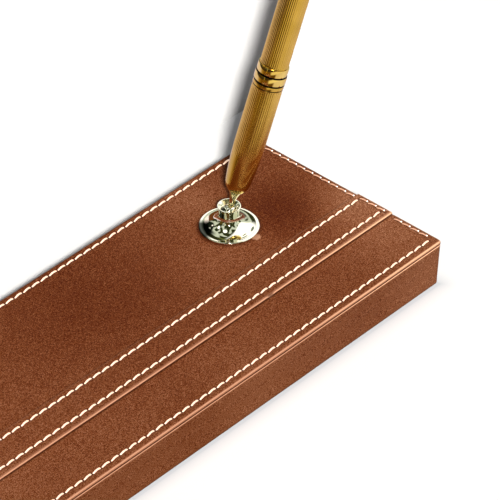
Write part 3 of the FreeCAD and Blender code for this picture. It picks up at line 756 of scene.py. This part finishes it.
topMesh = sheetMesh("leatherTop", 0.0, (halfLength, halfDepth), topFoot, topFace,
                    baseSettings, ([-rowEnd, rowEnd], [rowBack, rowFront, bandFront, bandBack]),
                    topShape)
addPiece("leatherTop", topMesh, leather, "stand", "leather", "top_leather")
bandMiddle = (bandFront + bandBack) / 2
bandMesh = sheetMesh("raisedBand", bandMiddle,
                     (halfLength - bandSettings["endGap"], bandSettings["width"] / 2),
                     topFace - bandSettings["buried"], bandFace, bandSettings,
                     ([bandSettings["nick"][0]], [y - bandMiddle for y in bandRows]),
                     bandShape)
addPiece("raisedBand", bandMesh, leather, "stand", "leather", "band_leather")
print("leather top and band made")


# Base: side leather and felt

wallSettings = {
    "thick": 1.4,
    "lift": 0.5,
    "draft": 0.9,
    "corner": 1.7,
    "round": 0.45,
    "turnIn": 12.0,
    "footRound": (0.6, 0.15),      # inwards along the foot and at half its round
    "bulge": (30.0, 0.12),         # mm across and deep
    "worn": (0.16, 0.17, 0.3),     # painted highlight: below the top, half width and share left at the back
    "footDark": (0.1, 0.5, 0.6),   # painted shade: above the foot, half width and darkness
}


def roundedPath(corner, spacing):
    # Points, with the directions out of them, round the foot of the base.
    corners = []
    for sx, sy, start in ((1, -1, -90), (1, 1, 0), (-1, 1, 90), (-1, -1, 180)):
        for i in range(9):
            angle = math.radians(start + 90 * i / 8)
            c, s = math.cos(angle), math.sin(angle)
            corners.append(((sx * (halfLength - corner) + corner * c,
                             sy * (halfDepth - corner) + corner * s), Vector((c, s))))
    path, outward = [], []
    for (here, out), (after, outAfter) in zip(corners, corners[1:] + corners[:1]):
        parts = max(1, round(math.dist(here, after) / spacing))
        for t in (k / parts for k in range(parts)):
            path.append([here[c] + (after[c] - here[c]) * t for c in (0, 1)])
            outward.append(tuple(out.lerp(outAfter, t).normalized()))
    return np.array(path), np.array(outward)


def wallMesh(s):
    # Side leather: an outline carried round the base, with its turned-in foot.
    top, foot, thick, r = topFoot, s["lift"], s["thick"], s["round"]
    long, short = s["footRound"]
    path, outward = roundedPath(s["corner"], 1.2)
    profile = [(s["draft"] * (top - z) / (top - foot), z)
               for z in np.linspace(foot + 0.5, top - r, 20)]
    profile += [(r * (1 - math.cos(a)), top - r + r * math.sin(a))
                for a in np.linspace(0.25, math.pi / 2, 5)]
    profile += [(thick, top), (thick + s["draft"], foot + thick), (s["turnIn"], foot + thick),
                (s["turnIn"], foot), (s["draft"] + long, foot),
                (s["draft"] + short, foot + short)]
    across, bulge = s["bulge"]
    count = len(path)
    highlightBelow, highlightWide, highlightBack = s["worn"]
    darkAbove, darkWide, footDark = s["footDark"]
    # Painted highlight below the top, stronger at the front, and painted shade above the foot
    front = np.where(path[:, 1] < 0, 1.0, highlightBack)
    rings, worn, deep = [], [], []
    for inward, z in profile:
        level = np.full(count, z)
        waves = softNoise(path[:, 0] + path[:, 1], level, across, 9.3)
        ends = math.sin(math.pi * min(max((z - foot) / (top - foot), 0), 1))
        shift = inward + (0.5 + 0.5 * waves) * bulge * ends
        rings.append(np.column_stack([path - outward * shift[:, None], level]))
        worn.append(front * (bell(z - top + highlightBelow, highlightWide) if inward < thick else 0.0))
        dark = bell(z - foot - darkAbove, darkWide) * footDark
        # The turned top inside the groove is painted in full shade
        if inward > 0.3 and z > top - 0.1:
            dark = 1.0
        deep.append(np.full(count, dark))
    faces = []
    for i in range(len(profile)):
        j = (i + 1) % len(profile)
        for k in range(count):
            m = (k + 1) % count
            faces.append((i * count + k, i * count + m, j * count + m, j * count + k))
    mesh = makeMesh("leatherSides", (np.concatenate(rings) * mm).tolist(), faces,
                    worn=np.concatenate(worn), deep=np.concatenate(deep))
    smoothMesh(mesh, 45)
    return mesh


addPiece("leatherSides", wallMesh(wallSettings), sideLeather, "stand", "leather",
         "wall_leather")

feltSettings = {
    "inset": 13.3,
    "thick": 1.9,
    "corner": 1.7,
    "upperRound": 0.1,
    "lowerRound": 0.5,
}
feltHalf = (halfLength - feltSettings["inset"], halfDepth - feltSettings["inset"])
feltMesh = sheetMesh("feltPad", 0.0, feltHalf, 0.0, feltSettings["thick"], feltSettings,
                     ([], []), feltShape, (6.0, 6.0))
addPiece("feltPad", feltMesh, stuffs["brownFelt"], "stand", "felt", "felt_pad")
print("sides and felt made")


# Geometry node helpers

def newTree(name, inputs):
    # Node group for a mesh, with a named input for each kind in inputs.
    tree = bpy.data.node_groups.new(name, "GeometryNodeTree")
    for label, kind, way in [("Geometry", "Geometry", "INPUT"),
                             ("Geometry", "Geometry", "OUTPUT")] + [
            (label, kind, "INPUT") for label, kind in inputs.items()]:
        tree.interface.new_socket(label, in_out=way, socket_type="NodeSocket" + kind)
    n = Nodes(tree)
    return n, n.add("NodeGroupInput").outputs


def storeValue(n, geometry, name, value):
    return n.geo("StoreNamedAttribute", {"Geometry": geometry, "Name": name, "Value": value},
                 data_type="FLOAT", domain="POINT")


def finishTree(n, geometry, material):
    real = n.geo("RealizeInstances", {"Geometry": geometry})
    painted = n.geo("SetMaterial", {"Geometry": real, "Material": material})
    n.add("NodeGroupOutput", {"Geometry": painted})
    return n.owner


def bakeNodes(piece, tree, values):
    # Runs the tree on a piece and puts the plain mesh that it gives in the piece.
    modifier = piece.modifiers.new("nodes", "NODES")
    modifier.node_group = tree
    for item in tree.interface.items_tree:
        if item.in_out == "INPUT" and item.name in values:
            modifier[item.identifier] = values[item.name]
    graph = bpy.context.evaluated_depsgraph_get()
    mesh = bpy.data.meshes.new_from_object(piece.evaluated_get(graph))
    piece.modifiers.remove(modifier)
    old = piece.data
    piece.data = mesh
    mesh.name = old.name
    bpy.data.meshes.remove(old)
    return mesh


# Sewing thread

threadShape = {
    "handles": 0.30,      # of the curve of a stitch, as a share of its length
    "crown": 1.25,        # their height as a share of the lift
    "endWidth": 0.35,
    "twist": 9.0,         # radians over a stitch
    "plies": (0.86, 0.16),    # waist and swell between two plies, as shares of the radius
    "knotPlace": (0.86, 0.25),
    "knotScale": (1.25, 0.95, 0.7),
    "shake": 0.035,       # radians that a stitch may lie askew
}


def stitchTree(s):
    n, given = newTree("sewnRows", {
        **dict.fromkeys(("Pitch", "Length", "Thickness", "Lift", "Sink", "Slant", "Knot",
                         "Tan"), "Float"), "Seed": "Int", "Thread": "Material"})
    # One stitch: a two-ply thread that dips into the leather at both ends
    half, reach = n.times(given["Length"], 0.5), n.times(given["Length"], s["handles"])
    sink, crown = n.times(given["Sink"], -1.0), n.times(given["Lift"], s["crown"])
    ends = [n.out("CombineXYZ", {"X": x, "Z": z}) for x, z in
            ((n.times(half, -1.0), sink), (n.times(reach, -1.0), crown), (reach, crown),
             (half, sink))]
    curve = n.geo("CurvePrimitiveBezierSegment",
                  {"Resolution": 18, "Start": ends[0], "Start Handle": ends[1],
                   "End Handle": ends[2], "End": ends[3]})
    factor = n.geo("SplineParameter", output="Factor")
    fromMiddle = n.times(n.maths("ABSOLUTE", n.less(factor, 0.5)), 2.0)
    taper = n.less(1.0, n.maths("POWER", fromMiddle, 3.0))
    sized = n.geo("SetCurveRadius",
                  {"Curve": curve, "Radius": n.span(taper, 0.0, 1.0, s["endWidth"], 1.0)})
    twisted = n.geo("SetCurveTilt", {"Curve": sized, "Tilt": n.times(factor, s["twist"])})
    marked = storeValue(n, twisted, "sunk", n.maths("POWER", fromMiddle, 6.0))
    circle = n.geo("CurvePrimitiveCircle",
                   {"Resolution": 12, "Radius": n.times(given["Thickness"], 0.5)})
    spot = n.geo("InputPosition")
    parts = n.split(spot)
    angle = n.maths("ARCTAN2", parts["Y"], parts["X"])
    waist, swell = s["plies"]
    lobe = n.plus(waist, n.times(n.maths("ABSOLUTE", n.maths("COSINE", angle)), swell))
    ply = n.geo("SetPosition", {"Geometry": circle, "Position": n.scaled(spot, lobe)})
    stitch = n.geo("CurveToMesh", {"Curve": marked, "Profile Curve": ply, "Fill Caps": True})
    # A thin stitch ends in a round knot of thread, where one is asked for
    ball = n.geo("MeshUVSphere", {"Segments": 12, "Rings": 8, "Radius": given["Knot"]})
    back, up = s["knotPlace"]
    shift = n.out("CombineXYZ", {"X": n.times(half, -back), "Z": n.times(given["Knot"], up)})
    knot = n.geo("Transform", {"Geometry": ball, "Translation": shift,
                               "Scale": s["knotScale"]})
    wanted = n.maths("GREATER_THAN", given["Knot"], 0.00001)
    both = n.add("GeometryNodeJoinGeometry")
    n.put(both.inputs[0], storeValue(n, stitch, "tan", given["Tan"]))
    n.put(both.inputs[0], n.geo("Switch", {"Switch": wanted, "True": knot},
                                input_type="GEOMETRY"))
    # Rows: each edge of the given mesh becomes a line of evenly spaced places
    lines = n.geo("MeshToCurve", {"Mesh": given["Geometry"]})
    placed = n.add("GeometryNodeCurveToPoints", {"Curve": lines, "Length": given["Pitch"]},
                   mode="LENGTH").outputs
    shake = n.add("FunctionNodeRandomValue", {"Seed": given["Seed"]}, data_type="FLOAT")
    least, most = [socket for socket in shake.inputs if socket.name in ("Min", "Max")
                   and socket.type == "VALUE" and socket.enabled]
    least.default_value, most.default_value = -s["shake"], s["shake"]
    jitter = [socket for socket in shake.outputs if socket.enabled][0]
    flatTurn = n.out("FunctionNodeAlignRotationToVector", {"Vector": placed["Tangent"]},
                     axis="X", pivot_axis="Z")
    slant = n.out("FunctionNodeAxisAngleToRotation",
                  {"Axis": (0.0, 0.0, 1.0), "Angle": n.plus(given["Slant"], jitter)})
    turned = n.out("FunctionNodeRotateRotation", {"Rotation": flatTurn, "Rotate By": slant})
    copies = n.geo("InstanceOnPoints", {"Points": placed[0], "Rotation": turned,
                                        "Instance": both.outputs[0]})
    return finishTree(n, copies, given["Thread"])


rowTree = stitchTree(threadShape)


def sewRows(name, chosen, pitch, stitch):
    # Each row is one edge, half a pitch in from its ends, at the height of the leather.
    points, s = [], stitchSettings
    for start, finish, level in chosen:
        a, b = Vector((*start, level)), Vector((*finish, level))
        step = (b - a).normalized() * pitch / 2
        points += [(a + step) * mm, (b - step) * mm]
    edges = [(index, index + 1) for index in range(0, len(points), 2)]
    piece = addPiece(name, makeMesh(name, points, [], edges), None, "stand", None)
    bakeNodes(piece, rowTree, {
        "Pitch": pitch * mm * 0.9999,
        "Length": stitch["length"] * mm,
        "Thickness": stitch["thick"] * mm,
        "Lift": s["lift"] * mm,
        "Sink": (s["groove"][0] + s["hole"][0] * 0.6) * mm,
        "Slant": math.radians(s["slant"]),
        "Knot": stitch["knot"] * mm,
        "Tan": stitch["tan"],
        "Seed": 3,
        "Thread": thread,
    }).shade_smooth()


sewRows("longStitches", longRows, longPitch, stitchSettings["long"])
sewRows("endStitches", shortRows, shortPitch, stitchSettings["end"])
print("stitches sewn")


# Holders and pens: sizes in mm, heights from the leather or, in the pen, from the ball

holderShape = {
    "flange": 12.3,
    "rimRound": 0.45,
    "recess": 0.4,
    "rimLand": 1.3,
    "foot": 5.4,
    "waist": 4.15,
    "waistHeight": 6.4,
    "flare": 3.9,
    "mouth": 4.8,
    "mouthHeight": 10.5,
    "mouthWall": 0.45,
    "mouthRound": 0.2,
    "lip": 2.9,
    "ball": 3.175,
    "ballHeight": 7.6,
    "ballFit": 0.03,
    "ballBore": 1.2,
    "boreLead": 0.35,
    "edge": 0.05,         # softened corners
    "segments": 160,
}

penShape = {   # pairs are a height and a radius
    "lean": 16.5,
    "forward": 22.5,
    "tipEnd": (0.4, 0.95),
    "tipNeck": (2.94, 1.16),
    "throat": (4.6, 1.3),
    "noseEnd": (10.4, 3.6),
    "tipTop": 3.2,
    "tipBore": (8.6, 0.68),
    "tipRoom": (9.72, 1.8),
    "tipSpigot": (4.6, 2.7),
    "spigotFit": 0.02,
    "noseRound": 4.0,
    "noseSlim": 1.0,
    "noseTaper": 32.0,
    "spigotRoom": 2.8,    # above the tip's spigot
    "lowerRadius": 6.2,
    "lowerWall": 0.7,
    "lipFoot": 59.2,
    "lipRadius": 6.3,
    "lowerTop": 61.2,
    "groove": 0.45,       # width and depth of each groove
    "ringFoot": 61.65,
    "ringSplit": 65.1,
    "ringTop": 68.8,
    "ringRadius": 6.45,
    "upperRing": 6.25,
    "crown": 0.12,
    "upperRadius": 5.75,
    "upperWall": 0.65,
    "upperTop": 121.0,
    "spigot": (5.0, 5.08),
    "turningBore": 4.55,
    "capRing": (2.2, 5.95),
    "capDome": (5.6, 5.3),
    "capFlat": 1.6,
    "edge": 0.05,
    "segments": 160,
}
ringShape = {**penShape, "edge": 0.26}

fluteShape = {
    "count": 46,
    "depth": 0.10,
    "sharpness": 1.2,     # above 1 makes the ribs broad and the flutes narrow
    "fade": 0.6,
    "start": 12.0,        # on the lower barrel's nose
    "gaps": (0.1, 0.4),   # left plain at the lip and at the ends of the upper barrel
    "skin": 0.3,          # how far below the barrel's radius the flutes may reach
    "outside": 5.0,       # only what stands farther out is split
    "step": 4.0,          # longest stretch of a barrel between two rings of points
    "segments": 552,
}


def archOf(width, height):
    # Radius of an arc that moves width aside over height and starts along it.
    return (width * width + height * height) / (2 * width)


def flangeOutline(s):
    rim, flange = s["rimRound"], s["flange"]
    rimX, rimZ = flange - rim, rim * 2
    waist, waistZ, small = s["waist"], s["waistHeight"], s["flare"]
    # The wide arc of the flange meets the small arc of the neck without a corner
    run, rise = rimX - waist, waistZ - rimZ
    wide = (run * run - 2 * run * small + rise * rise) / (2 * (rise - small))
    joinX = waist + small + (waist + small - rimX) * small / (wide - small)
    joinZ = waistZ + (waistZ - rimZ - wide) * small / (wide - small)
    mouth, mouthZ, soft = s["mouth"], s["mouthHeight"], s["mouthRound"]
    socket = s["ball"] + s["ballFit"]
    lipZ = s["ballHeight"] + math.sqrt(socket ** 2 - s["lip"] ** 2)
    land = flange - s["rimLand"]
    return [(socket, 0), (s["foot"], 0), (s["foot"], s["recess"]), (land, s["recess"]),
            (land, 0), (rimX, 0, rim, 1), (flange, rim, rim, 1), (rimX, rimZ, wide, -1),
            (joinX, joinZ, small, -1),
            (waist, waistZ, archOf(mouth - waist, mouthZ - soft - waistZ), -1),
            (mouth, mouthZ - soft, soft, 1), (mouth - soft, mouthZ),
            (mouth - s["mouthWall"], mouthZ), (s["lip"], lipZ, socket, -1),
            (socket, s["ballHeight"])]


def ballOutline(s):
    ball, bore = s["ball"], s["ballBore"]
    wide = bore + s["boreLead"]
    foot, crown = (math.sqrt(ball * ball - radius * radius) for radius in (bore, wide))
    return [(bore, -foot, ball, 1), (wide, crown), (bore, crown - s["boreLead"])]


def tipOutline(s):
    (throat, throatR), nose = s["throat"], s["noseEnd"][0]
    (end, endR), (neck, neckR) = s["tipEnd"], s["tipNeck"]
    (bore, boreR), (room, roomR) = s["tipBore"], s["tipRoom"]
    depth, spigot = s["tipSpigot"]
    return [(boreR, end), (endR, end), (neckR, neck),
            (throatR, throat, archOf(s["tipTop"] - throatR, nose - throat), -1),
            (s["tipTop"], nose), (spigot, nose), (spigot, nose + depth),
            (roomR, nose + depth), (roomR, room), (boreR, bore)]


def lowerOutline(s):
    (nose, noseR), (depth, spigot), fit = s["noseEnd"], s["tipSpigot"], s["spigotFit"]
    outer, inner = s["lowerRadius"], s["lowerRadius"] - s["lowerWall"]
    roundZ, taperZ, slim = nose + s["noseRound"], s["noseTaper"], outer - s["noseSlim"]
    bend = archOf(s["noseSlim"], taperZ - roundZ)
    # The nose rounds on from the taper without a corner
    inX, inZ = slim - noseR, s["noseRound"]
    slant = inX * (bend - s["noseSlim"]) - inZ * (taperZ - roundZ)
    noseBend = (inX * inX + inZ * inZ) * bend / (2 * slant)
    groove, wide, top, lip = s["lipFoot"], s["groove"], s["lowerTop"], s["lipRadius"]
    return [(spigot + fit, nose), (noseR, nose, noseBend, 1), (slim, roundZ, bend, 1),
            (outer, taperZ), (outer, groove), (outer - wide / 2, groove),
            (outer - wide / 2, groove + wide), (lip, groove + wide), (lip, top),
            (inner, top), (inner, nose + depth + s["spigotRoom"]),
            (spigot + fit, nose + depth + fit)]


def ringOutline(s):
    foot, top, wide, bore = s["ringFoot"], s["ringTop"], s["groove"], s["turningBore"]
    split, crown, (depth, spigot) = s["ringSplit"], s["crown"], s["spigot"]
    outline = [(bore, foot)]
    for radius, start, finish in ((s["ringRadius"], foot, split),
                                  (s["upperRing"], split + wide, top)):
        half = (finish - start) / 2
        arch = archOf(crown, half)
        outline += [(radius - crown, start, arch, 1), (radius, start + half, arch, 1),
                    (radius - crown, finish)]
        if finish == split:
            outline += [(radius - crown - wide, split), (radius - crown - wide, split + wide)]
    return outline + [(spigot, top), (spigot, top + depth), (bore, top + depth)]


def capOutline(s):
    foot, (depth, spigot), (height, ring) = s["upperTop"], s["spigot"], s["capRing"]
    (dome, neck), flat = s["capDome"], s["capFlat"]
    return [(0, foot - depth), (spigot, foot - depth), (spigot, foot), (ring, foot),
            (ring, foot + height), (neck, foot + height, archOf(neck - flat, dome), 1),
            (flat, foot + height + dome), (0, foot + height + dome)]


def standPlace(side):
    return Matrix.Translation(Vector((side * holderX, holderY, topFace)) * mm)


def penPlace(side):
    forward = math.radians(penShape["forward"])
    axis = (math.sin(forward), side * math.cos(forward), 0.0)
    lift = Vector((side * holderX, holderY, topFace + holderShape["ballHeight"])) * mm
    return Matrix.Translation(lift) @ Matrix.Rotation(math.radians(penShape["lean"]), 4, axis)


def fluteTree():
    # Presses flutes into a barrel that stands along Z round the origin.
    n, given = newTree("fluteBarrel", {
        "Count": "Int", "Finish": "Material",
        **dict.fromkeys(("Depth", "Sharpness", "Radius", "Start", "End", "Fade"), "Float")})
    parts = n.split(n.geo("InputPosition"))
    wave = n.maths("COSINE", n.times(n.maths("ARCTAN2", parts["Y"], parts["X"]),
                                     given["Count"]))
    rib = n.maths("POWER", n.maths("MULTIPLY_ADD", wave, 0.5, 0.5), given["Sharpness"])
    below = n.less(given["Radius"], n.longest(parts["X"], parts["Y"]))
    skin = n.span(below, 0.00012, 0.00017, 1.0, 0.0)
    # Where the nose is slimmer than the barrel the cutter bites less, then not at all
    bite = n.times(n.maths("MAXIMUM", n.less(given["Depth"], below), 0.0), skin)
    fades = [n.span(distance, 0.0, given["Fade"], kind="SMOOTHSTEP") for distance in
             (n.less(parts["Z"], given["Start"]), n.less(given["End"], parts["Z"]))]
    amount = n.times(n.times(rib, bite), n.times(*fades))
    flat = n.out("CombineXYZ", {"X": parts["X"], "Y": parts["Y"]})
    shift = n.scaled(n.vector("NORMALIZE", flat), n.times(amount, -1.0))
    pressed = n.geo("SetPosition", {"Geometry": given["Geometry"], "Offset": shift})
    return finishTree(n, pressed, given["Finish"])


pressTree = fluteTree()


def splitSides(outline, places):
    # Adds points to a closed outline, at the shares that places gives for each side.
    result = []
    for here, after in zip(outline, outline[1:] + outline[:1]):
        result.append(here)
        result += [tuple(Vector(here).lerp(Vector(after), t)) for t in places(here, after)]
    return result


def turnedPiece(name, outline, s, place, material, body, slot, node):
    mesh = spunMesh(name, softCorners(profileOf(outline), s["edge"]), s["segments"])
    smoothMesh(mesh, 32)
    mesh.transform(place)
    addPiece(name, mesh, material, body, slot, node)


def flutedBarrel(name, outline, radius, start, finish, place, body, node):
    s = fluteShape

    def evenly(here, after):
        parts = math.ceil(math.dist(here, after) / s["step"])
        if min(here[0], after[0]) <= s["outside"]:
            return []
        return [i / parts for i in range(1, parts)]

    def atMarks(here, after):
        # Rings of points where the flutes begin and end
        rise = after[1] - here[1]
        if min(here[0], after[0]) <= radius - s["skin"] or rise == 0:
            return []
        least, most = min(here[1], after[1]) + 0.01, max(here[1], after[1]) - 0.01
        return sorted((m - here[1]) / rise for m in marks if least < m < most)

    marks = [start + s["fade"] * i / 4 for i in range(5)]
    marks += [finish - s["fade"] * i / 4 for i in range(5)]
    fine = splitSides(softCorners(profileOf(outline), penShape["edge"]), evenly)
    mesh = spunMesh(name, splitSides(fine, atMarks), s["segments"])
    gold = stuffs["flutedGold"]
    piece = addPiece(name, mesh, gold, body, "gold_fluted", node)
    mesh = bakeNodes(piece, pressTree, {
        "Count": s["count"],
        "Depth": s["depth"] * mm,
        "Sharpness": s["sharpness"],
        "Radius": radius * mm,
        "Start": start * mm,
        "End": finish * mm,
        "Fade": s["fade"] * mm,
        "Finish": gold,
    })
    smoothMesh(mesh, 36)
    mesh.transform(place)


turnedPieces = [   # piece, outline, shape, metal, body, slot and CAD node
    ("holderFlange", flangeOutline, holderShape, "mirrorBrass", "stand", "polished_brass",
     "holder_flange"),
    ("swivelBall", ballOutline, holderShape, "mirrorBrass", "ball", "polished_brass",
     "swivel_ball"),
    ("penTip", tipOutline, penShape, "paleGold", "pen", "gold_bright", "pen_tip"),
    ("penRings", ringOutline, ringShape, "brightGold", "pen_top", "gold_bright",
     "centre_band"),
    ("penCap", capOutline, penShape, "brightGold", "pen_top", "gold_bright", "end_cap"),
]
upperFoot, upperTop, upperOuter = (penShape[k] for k in ("ringTop", "upperTop", "upperRadius"))
upperInner = upperOuter - penShape["upperWall"]
upperOutline = [(upperInner, upperFoot), (upperOuter, upperFoot), (upperOuter, upperTop),
                (upperInner, upperTop)]
lipGap, endGap = fluteShape["gaps"]
for side, sideName in ((1, "right"), (-1, "left")):
    named, titled = "_" + sideName, sideName.title()
    for name, outline, shape, metal, body, slot, node in turnedPieces:
        fixed = body == "stand"
        turnedPiece(name + titled, outline(shape), shape,
                    standPlace(side) if fixed else penPlace(side), stuffs[metal],
                    body if fixed else body + named, slot, node + named)
    flutedBarrel("lowerBarrel" + titled, lowerOutline(penShape), penShape["lowerRadius"],
                 fluteShape["start"], penShape["lipFoot"] - lipGap, penPlace(side),
                 "pen" + named, "lower_barrel" + named)
    flutedBarrel("upperBarrel" + titled, upperOutline, upperOuter, upperFoot + endGap,
                 upperTop - endGap, penPlace(side), "pen_top" + named,
                 "upper_barrel" + named)
print("holders and pens turned")


# Materials of the pieces that keep their own mesh

ownMaterials = {
    "base_core": "pressedBoard",
    "spring_washer": "plainSteel",
    "ball_seat": "paleNylon",
    "holder_stud": "plainSteel",
    "holder_washer": "plainSteel",
    "holder_nut": "plainSteel",
    "twist_sleeve": "innerBrass",
    "twist_driver": "darkPlastic",
    "refill_carrier": "darkPlastic",
    "refill": "refillSteel",
}
for node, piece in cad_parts.items():
    own = ownMaterials.get(node.replace("_right", "").replace("_left", ""))
    if own is not None:
        piece.data.materials.clear()
        piece.data.materials.append(stuffs[own])
print("inner pieces coloured")


# Floor, light and world

stageSettings = {
    "reach": 3.0,         # metres from the middle to the edges
    "floor": 0.86,
    "floorGlow": 0.02,
    "backdrop": 0.95,
    "backdropPlace": 0.088,   # metres behind the middle of the base
    "backdropHeight": 1.2,
    "contact": 0.74,      # brightness of the table at the foot of the base
    "contactTint": (0.93, 0.96, 1.0),
    "contactReach": 0.007,
    "thrown": (0.12, 0.12, 0.12),   # the little light that the table throws back
}

lightSettings = {
    "sun": 5.75,
    "sunSize": 3.5,       # degrees across, which softens the shadows
    "sunColour": (1.0, 0.975, 0.94),
    "sunTurn": -43.8,
    "sunRise": 36.2,
    "fill": 0.15,
    "fillColour": (0.97, 0.985, 1.0),
}

tableSettings = {  # what polished metal sees of the table: turn in degrees and colour
    "near": [
        (-180.0, (0.80, 0.70, 0.80)),
        (-150.0, (0.80, 0.70, 0.80)),
        (-132.0, (0.50, 0.34, 0.12)),
        (-116.0, (0.14, 0.075, 0.008)),
        (-28.0, (0.14, 0.075, 0.008)),
        (-18.0, (0.80, 0.70, 0.58)),
        (40.0, (0.92, 0.84, 0.72)),
        (90.0, (0.72, 0.60, 0.62)),
        (180.0, (0.80, 0.70, 0.80)),
    ],
    "far": [
        (-180.0, (0.82, 0.72, 0.82)),
        (-146.0, (0.82, 0.72, 0.82)),
        (-128.0, (0.44, 0.28, 0.06)),
        (-110.0, (0.19, 0.095, 0.010)),
        (-66.0, (0.19, 0.095, 0.010)),
        (-54.0, (0.98, 0.86, 0.50)),
        (10.0, (1.0, 0.92, 0.62)),
        (55.0, (0.86, 0.76, 0.66)),
        (180.0, (0.82, 0.72, 0.82)),
    ],
    "change": (0.195, 0.250),   # metres from the holder
    "end": (0.52, 0.66),
    "dusk": (0.05, 0.035, 0.015),
}


def makePlane(name, corners, bright, glow, shade, s, table):
    n = newMaterial(name)
    # Soft shade where the sheet meets the foot of the base
    place = n.split(n.coords())
    out = [n.maths("MAXIMUM", n.less(n.maths("ABSOLUTE", place[axis]), half * mm), 0.0)
           for axis, half in (("X", halfLength), ("Y", halfDepth))]
    fade = n.maths("SQRT", n.span(n.longest(*out), 0.0, s["contactReach"]))
    tone = n.mix(fade, tuple(bright * shade * part for part in s["contactTint"]), (bright,) * 3)
    plain = n.set(Base_Color=tone, Roughness=0.9, Specular_IOR_Level=0.0,
                  Emission_Color=(1.0, 1.0, 1.0), Emission_Strength=glow).outputs[0]
    # Polished metal sees a table lit in sectors round the right-hand holder
    across, along = n.less(place["X"], holderX * mm), n.less(holderY * mm, place["Y"])
    turn = n.span(n.maths("ARCTAN2", across, along), -math.pi, math.pi)
    away = n.longest(across, along)
    near, far = (n.ramp(turn, [((degrees + 180) / 360, colour) for degrees, colour in stops])
                 for stops in (table["near"], table["far"]))
    seen = n.mix(n.span(away, *table["change"]), near, far)
    seen = n.mix(n.span(away, *table["end"]), seen, table["dusk"])
    ways = n.add("LightPath").outputs
    shader = n.either(ways["Is Diffuse Ray"], plain,
                      n.out("BsdfDiffuse", {"Color": s["thrown"]}))
    shader = n.either(ways["Is Glossy Ray"], shader, n.out("Emission", {"Color": seen}))
    # The back of the sheet is clear, so it hides nothing from behind
    shader = n.either(n.out("NewGeometry", output="Backfacing"), shader,
                      n.out("BsdfTransparent"))
    n.put(n.tree.nodes["Material Output"].inputs["Surface"], shader)
    mesh = makeMesh(name, corners, [(0, 1, 2, 3)])
    mesh.materials.append(n.owner)
    sweep = newObject(name, mesh)
    return sweep


def makeStage(s, table):
    reach, back, height = s["reach"], s["backdropPlace"], s["backdropHeight"]
    floor = [(-reach, -reach, 0), (reach, -reach, 0), (reach, reach, 0), (-reach, reach, 0)]
    makePlane("floor", floor, s["floor"], s["floorGlow"], s["contact"], s, table)
    upright = [(-reach, back, 0), (reach, back, 0), (reach, back, height),
               (-reach, back, height)]
    sheet = makePlane("backdrop", upright, s["backdrop"], 0.0, 1.0, s, table)
    sheet.visible_glossy = False
    sheet.visible_diffuse = False


def makeSun(s):
    data = bpy.data.lights.new("sun", "SUN")
    data.energy = s["sun"]
    data.angle = math.radians(s["sunSize"])
    data.color = s["sunColour"]
    standAway(newObject("sun", data), (0.0, 0.0, 0.0), s["sunTurn"], s["sunRise"], 1000.0)


roomSettings = {  # what polished metal sees: turn, rise, reach in degrees and colour
    "dim": (0.030, 0.035, 0.010),
    "lit": (0.62, 0.67, 0.55),
    "wobble": 0.10,
    "grain": 2.2,
    "veins": (1.7, 1.4),        # scale and distortion
    "change": (0.485, 0.55),    # where dim turns to lit
    "patches": [
        (78.0, 50.0, 36.0, (1.6, 1.6, 1.6)),
        (133.0, 37.5, 7.5, (1.4, 1.4, 1.35)),
        (-138.0, 44.0, 8.0, (1.6, 1.6, 1.5)),
        (-96.0, 70.0, 9.0, (1.6, 1.6, 1.5)),
        (-60.0, 12.0, 22.0, (0.10, 0.055, 0.015)),
        (-120.0, 8.0, 20.0, (0.09, 0.06, 0.012)),
        (168.0, 33.0, 20.0, (0.010, 0.014, 0.008)),
        (-158.0, 52.0, 6.0, (0.02, 0.03, 0.008)),
        (146.0, 3.0, 19.0, (0.15, 0.050, 0.015)),
        (151.0, 24.0, 8.0, (1.2, 1.02, 0.95)),
        (153.0, 41.0, 5.5, (0.008, 0.010, 0.012)),
        (-178.0, 29.0, 3.5, (1.2, 1.1, 1.05)),
        (172.0, 40.0, 3.0, (1.0, 1.0, 0.9)),
        (122.0, 3.0, 7.0, (0.13, 0.12, 0.11)),
        (112.0, 42.0, 4.6, (0.20, 0.24, 0.18)),
        (104.0, 57.0, 3.4, (0.30, 0.33, 0.22)),
        (120.0, 52.0, 3.4, (0.16, 0.18, 0.06)),
        (141.0, 60.0, 4.0, (0.12, 0.14, 0.03)),
        (40.0, 8.0, 9.0, (0.9, 0.95, 0.75)),
    ],
}


def makeWorld(s, room):
    world = bpy.data.worlds.new("whiteRoom")
    world.use_nodes = True
    bpy.context.scene.world = world
    world.node_tree.nodes.clear()
    n = Nodes(world)
    direction = n.coords("Generated")
    noisy = n.out("TexNoise", {"Vector": direction, "Scale": room["grain"], "Detail": 1.0},
                  "Color")
    shaken = n.vector("MULTIPLY_ADD", n.vector("SUBTRACT", noisy, (0.5, 0.5, 0.5)),
                      (room["wobble"],) * 3, direction)
    toward = n.vector("NORMALIZE", shaken)
    scale, distortion = room["veins"]
    veins = n.out("TexNoise", {"Vector": toward, "Scale": scale, "Detail": 0.0,
                               "Distortion": distortion}, "Fac")
    colour = n.mix(n.span(veins, *room["change"]), room["dim"], room["lit"])
    for turn, rise, reach, shade in room["patches"]:
        dot = n.vector("DOT_PRODUCT", toward, unitFrom(turn, rise))
        inside = n.span(dot, math.cos(math.radians(reach)), math.cos(math.radians(reach * 0.8)))
        colour = n.mix(inside, colour, shade)
    glossy, fill, plain = (
        n.out("Background", {"Color": shade, "Strength": strength}) for shade, strength in
        ((colour, 1.0), (s["fillColour"], s["fill"]), ((1.0, 1.0, 1.0), 1.0)))
    ways = n.add("LightPath").outputs
    seen = n.either(ways["Is Camera Ray"], n.either(ways["Is Glossy Ray"], fill, glossy), plain)
    n.add("OutputWorld", {"Surface": seen})


makeStage(stageSettings, tableSettings)
makeSun(lightSettings)
makeWorld(lightSettings, roomSettings)
bpy.context.scene.view_settings.view_transform = "Standard"
print("floor, light and world set")
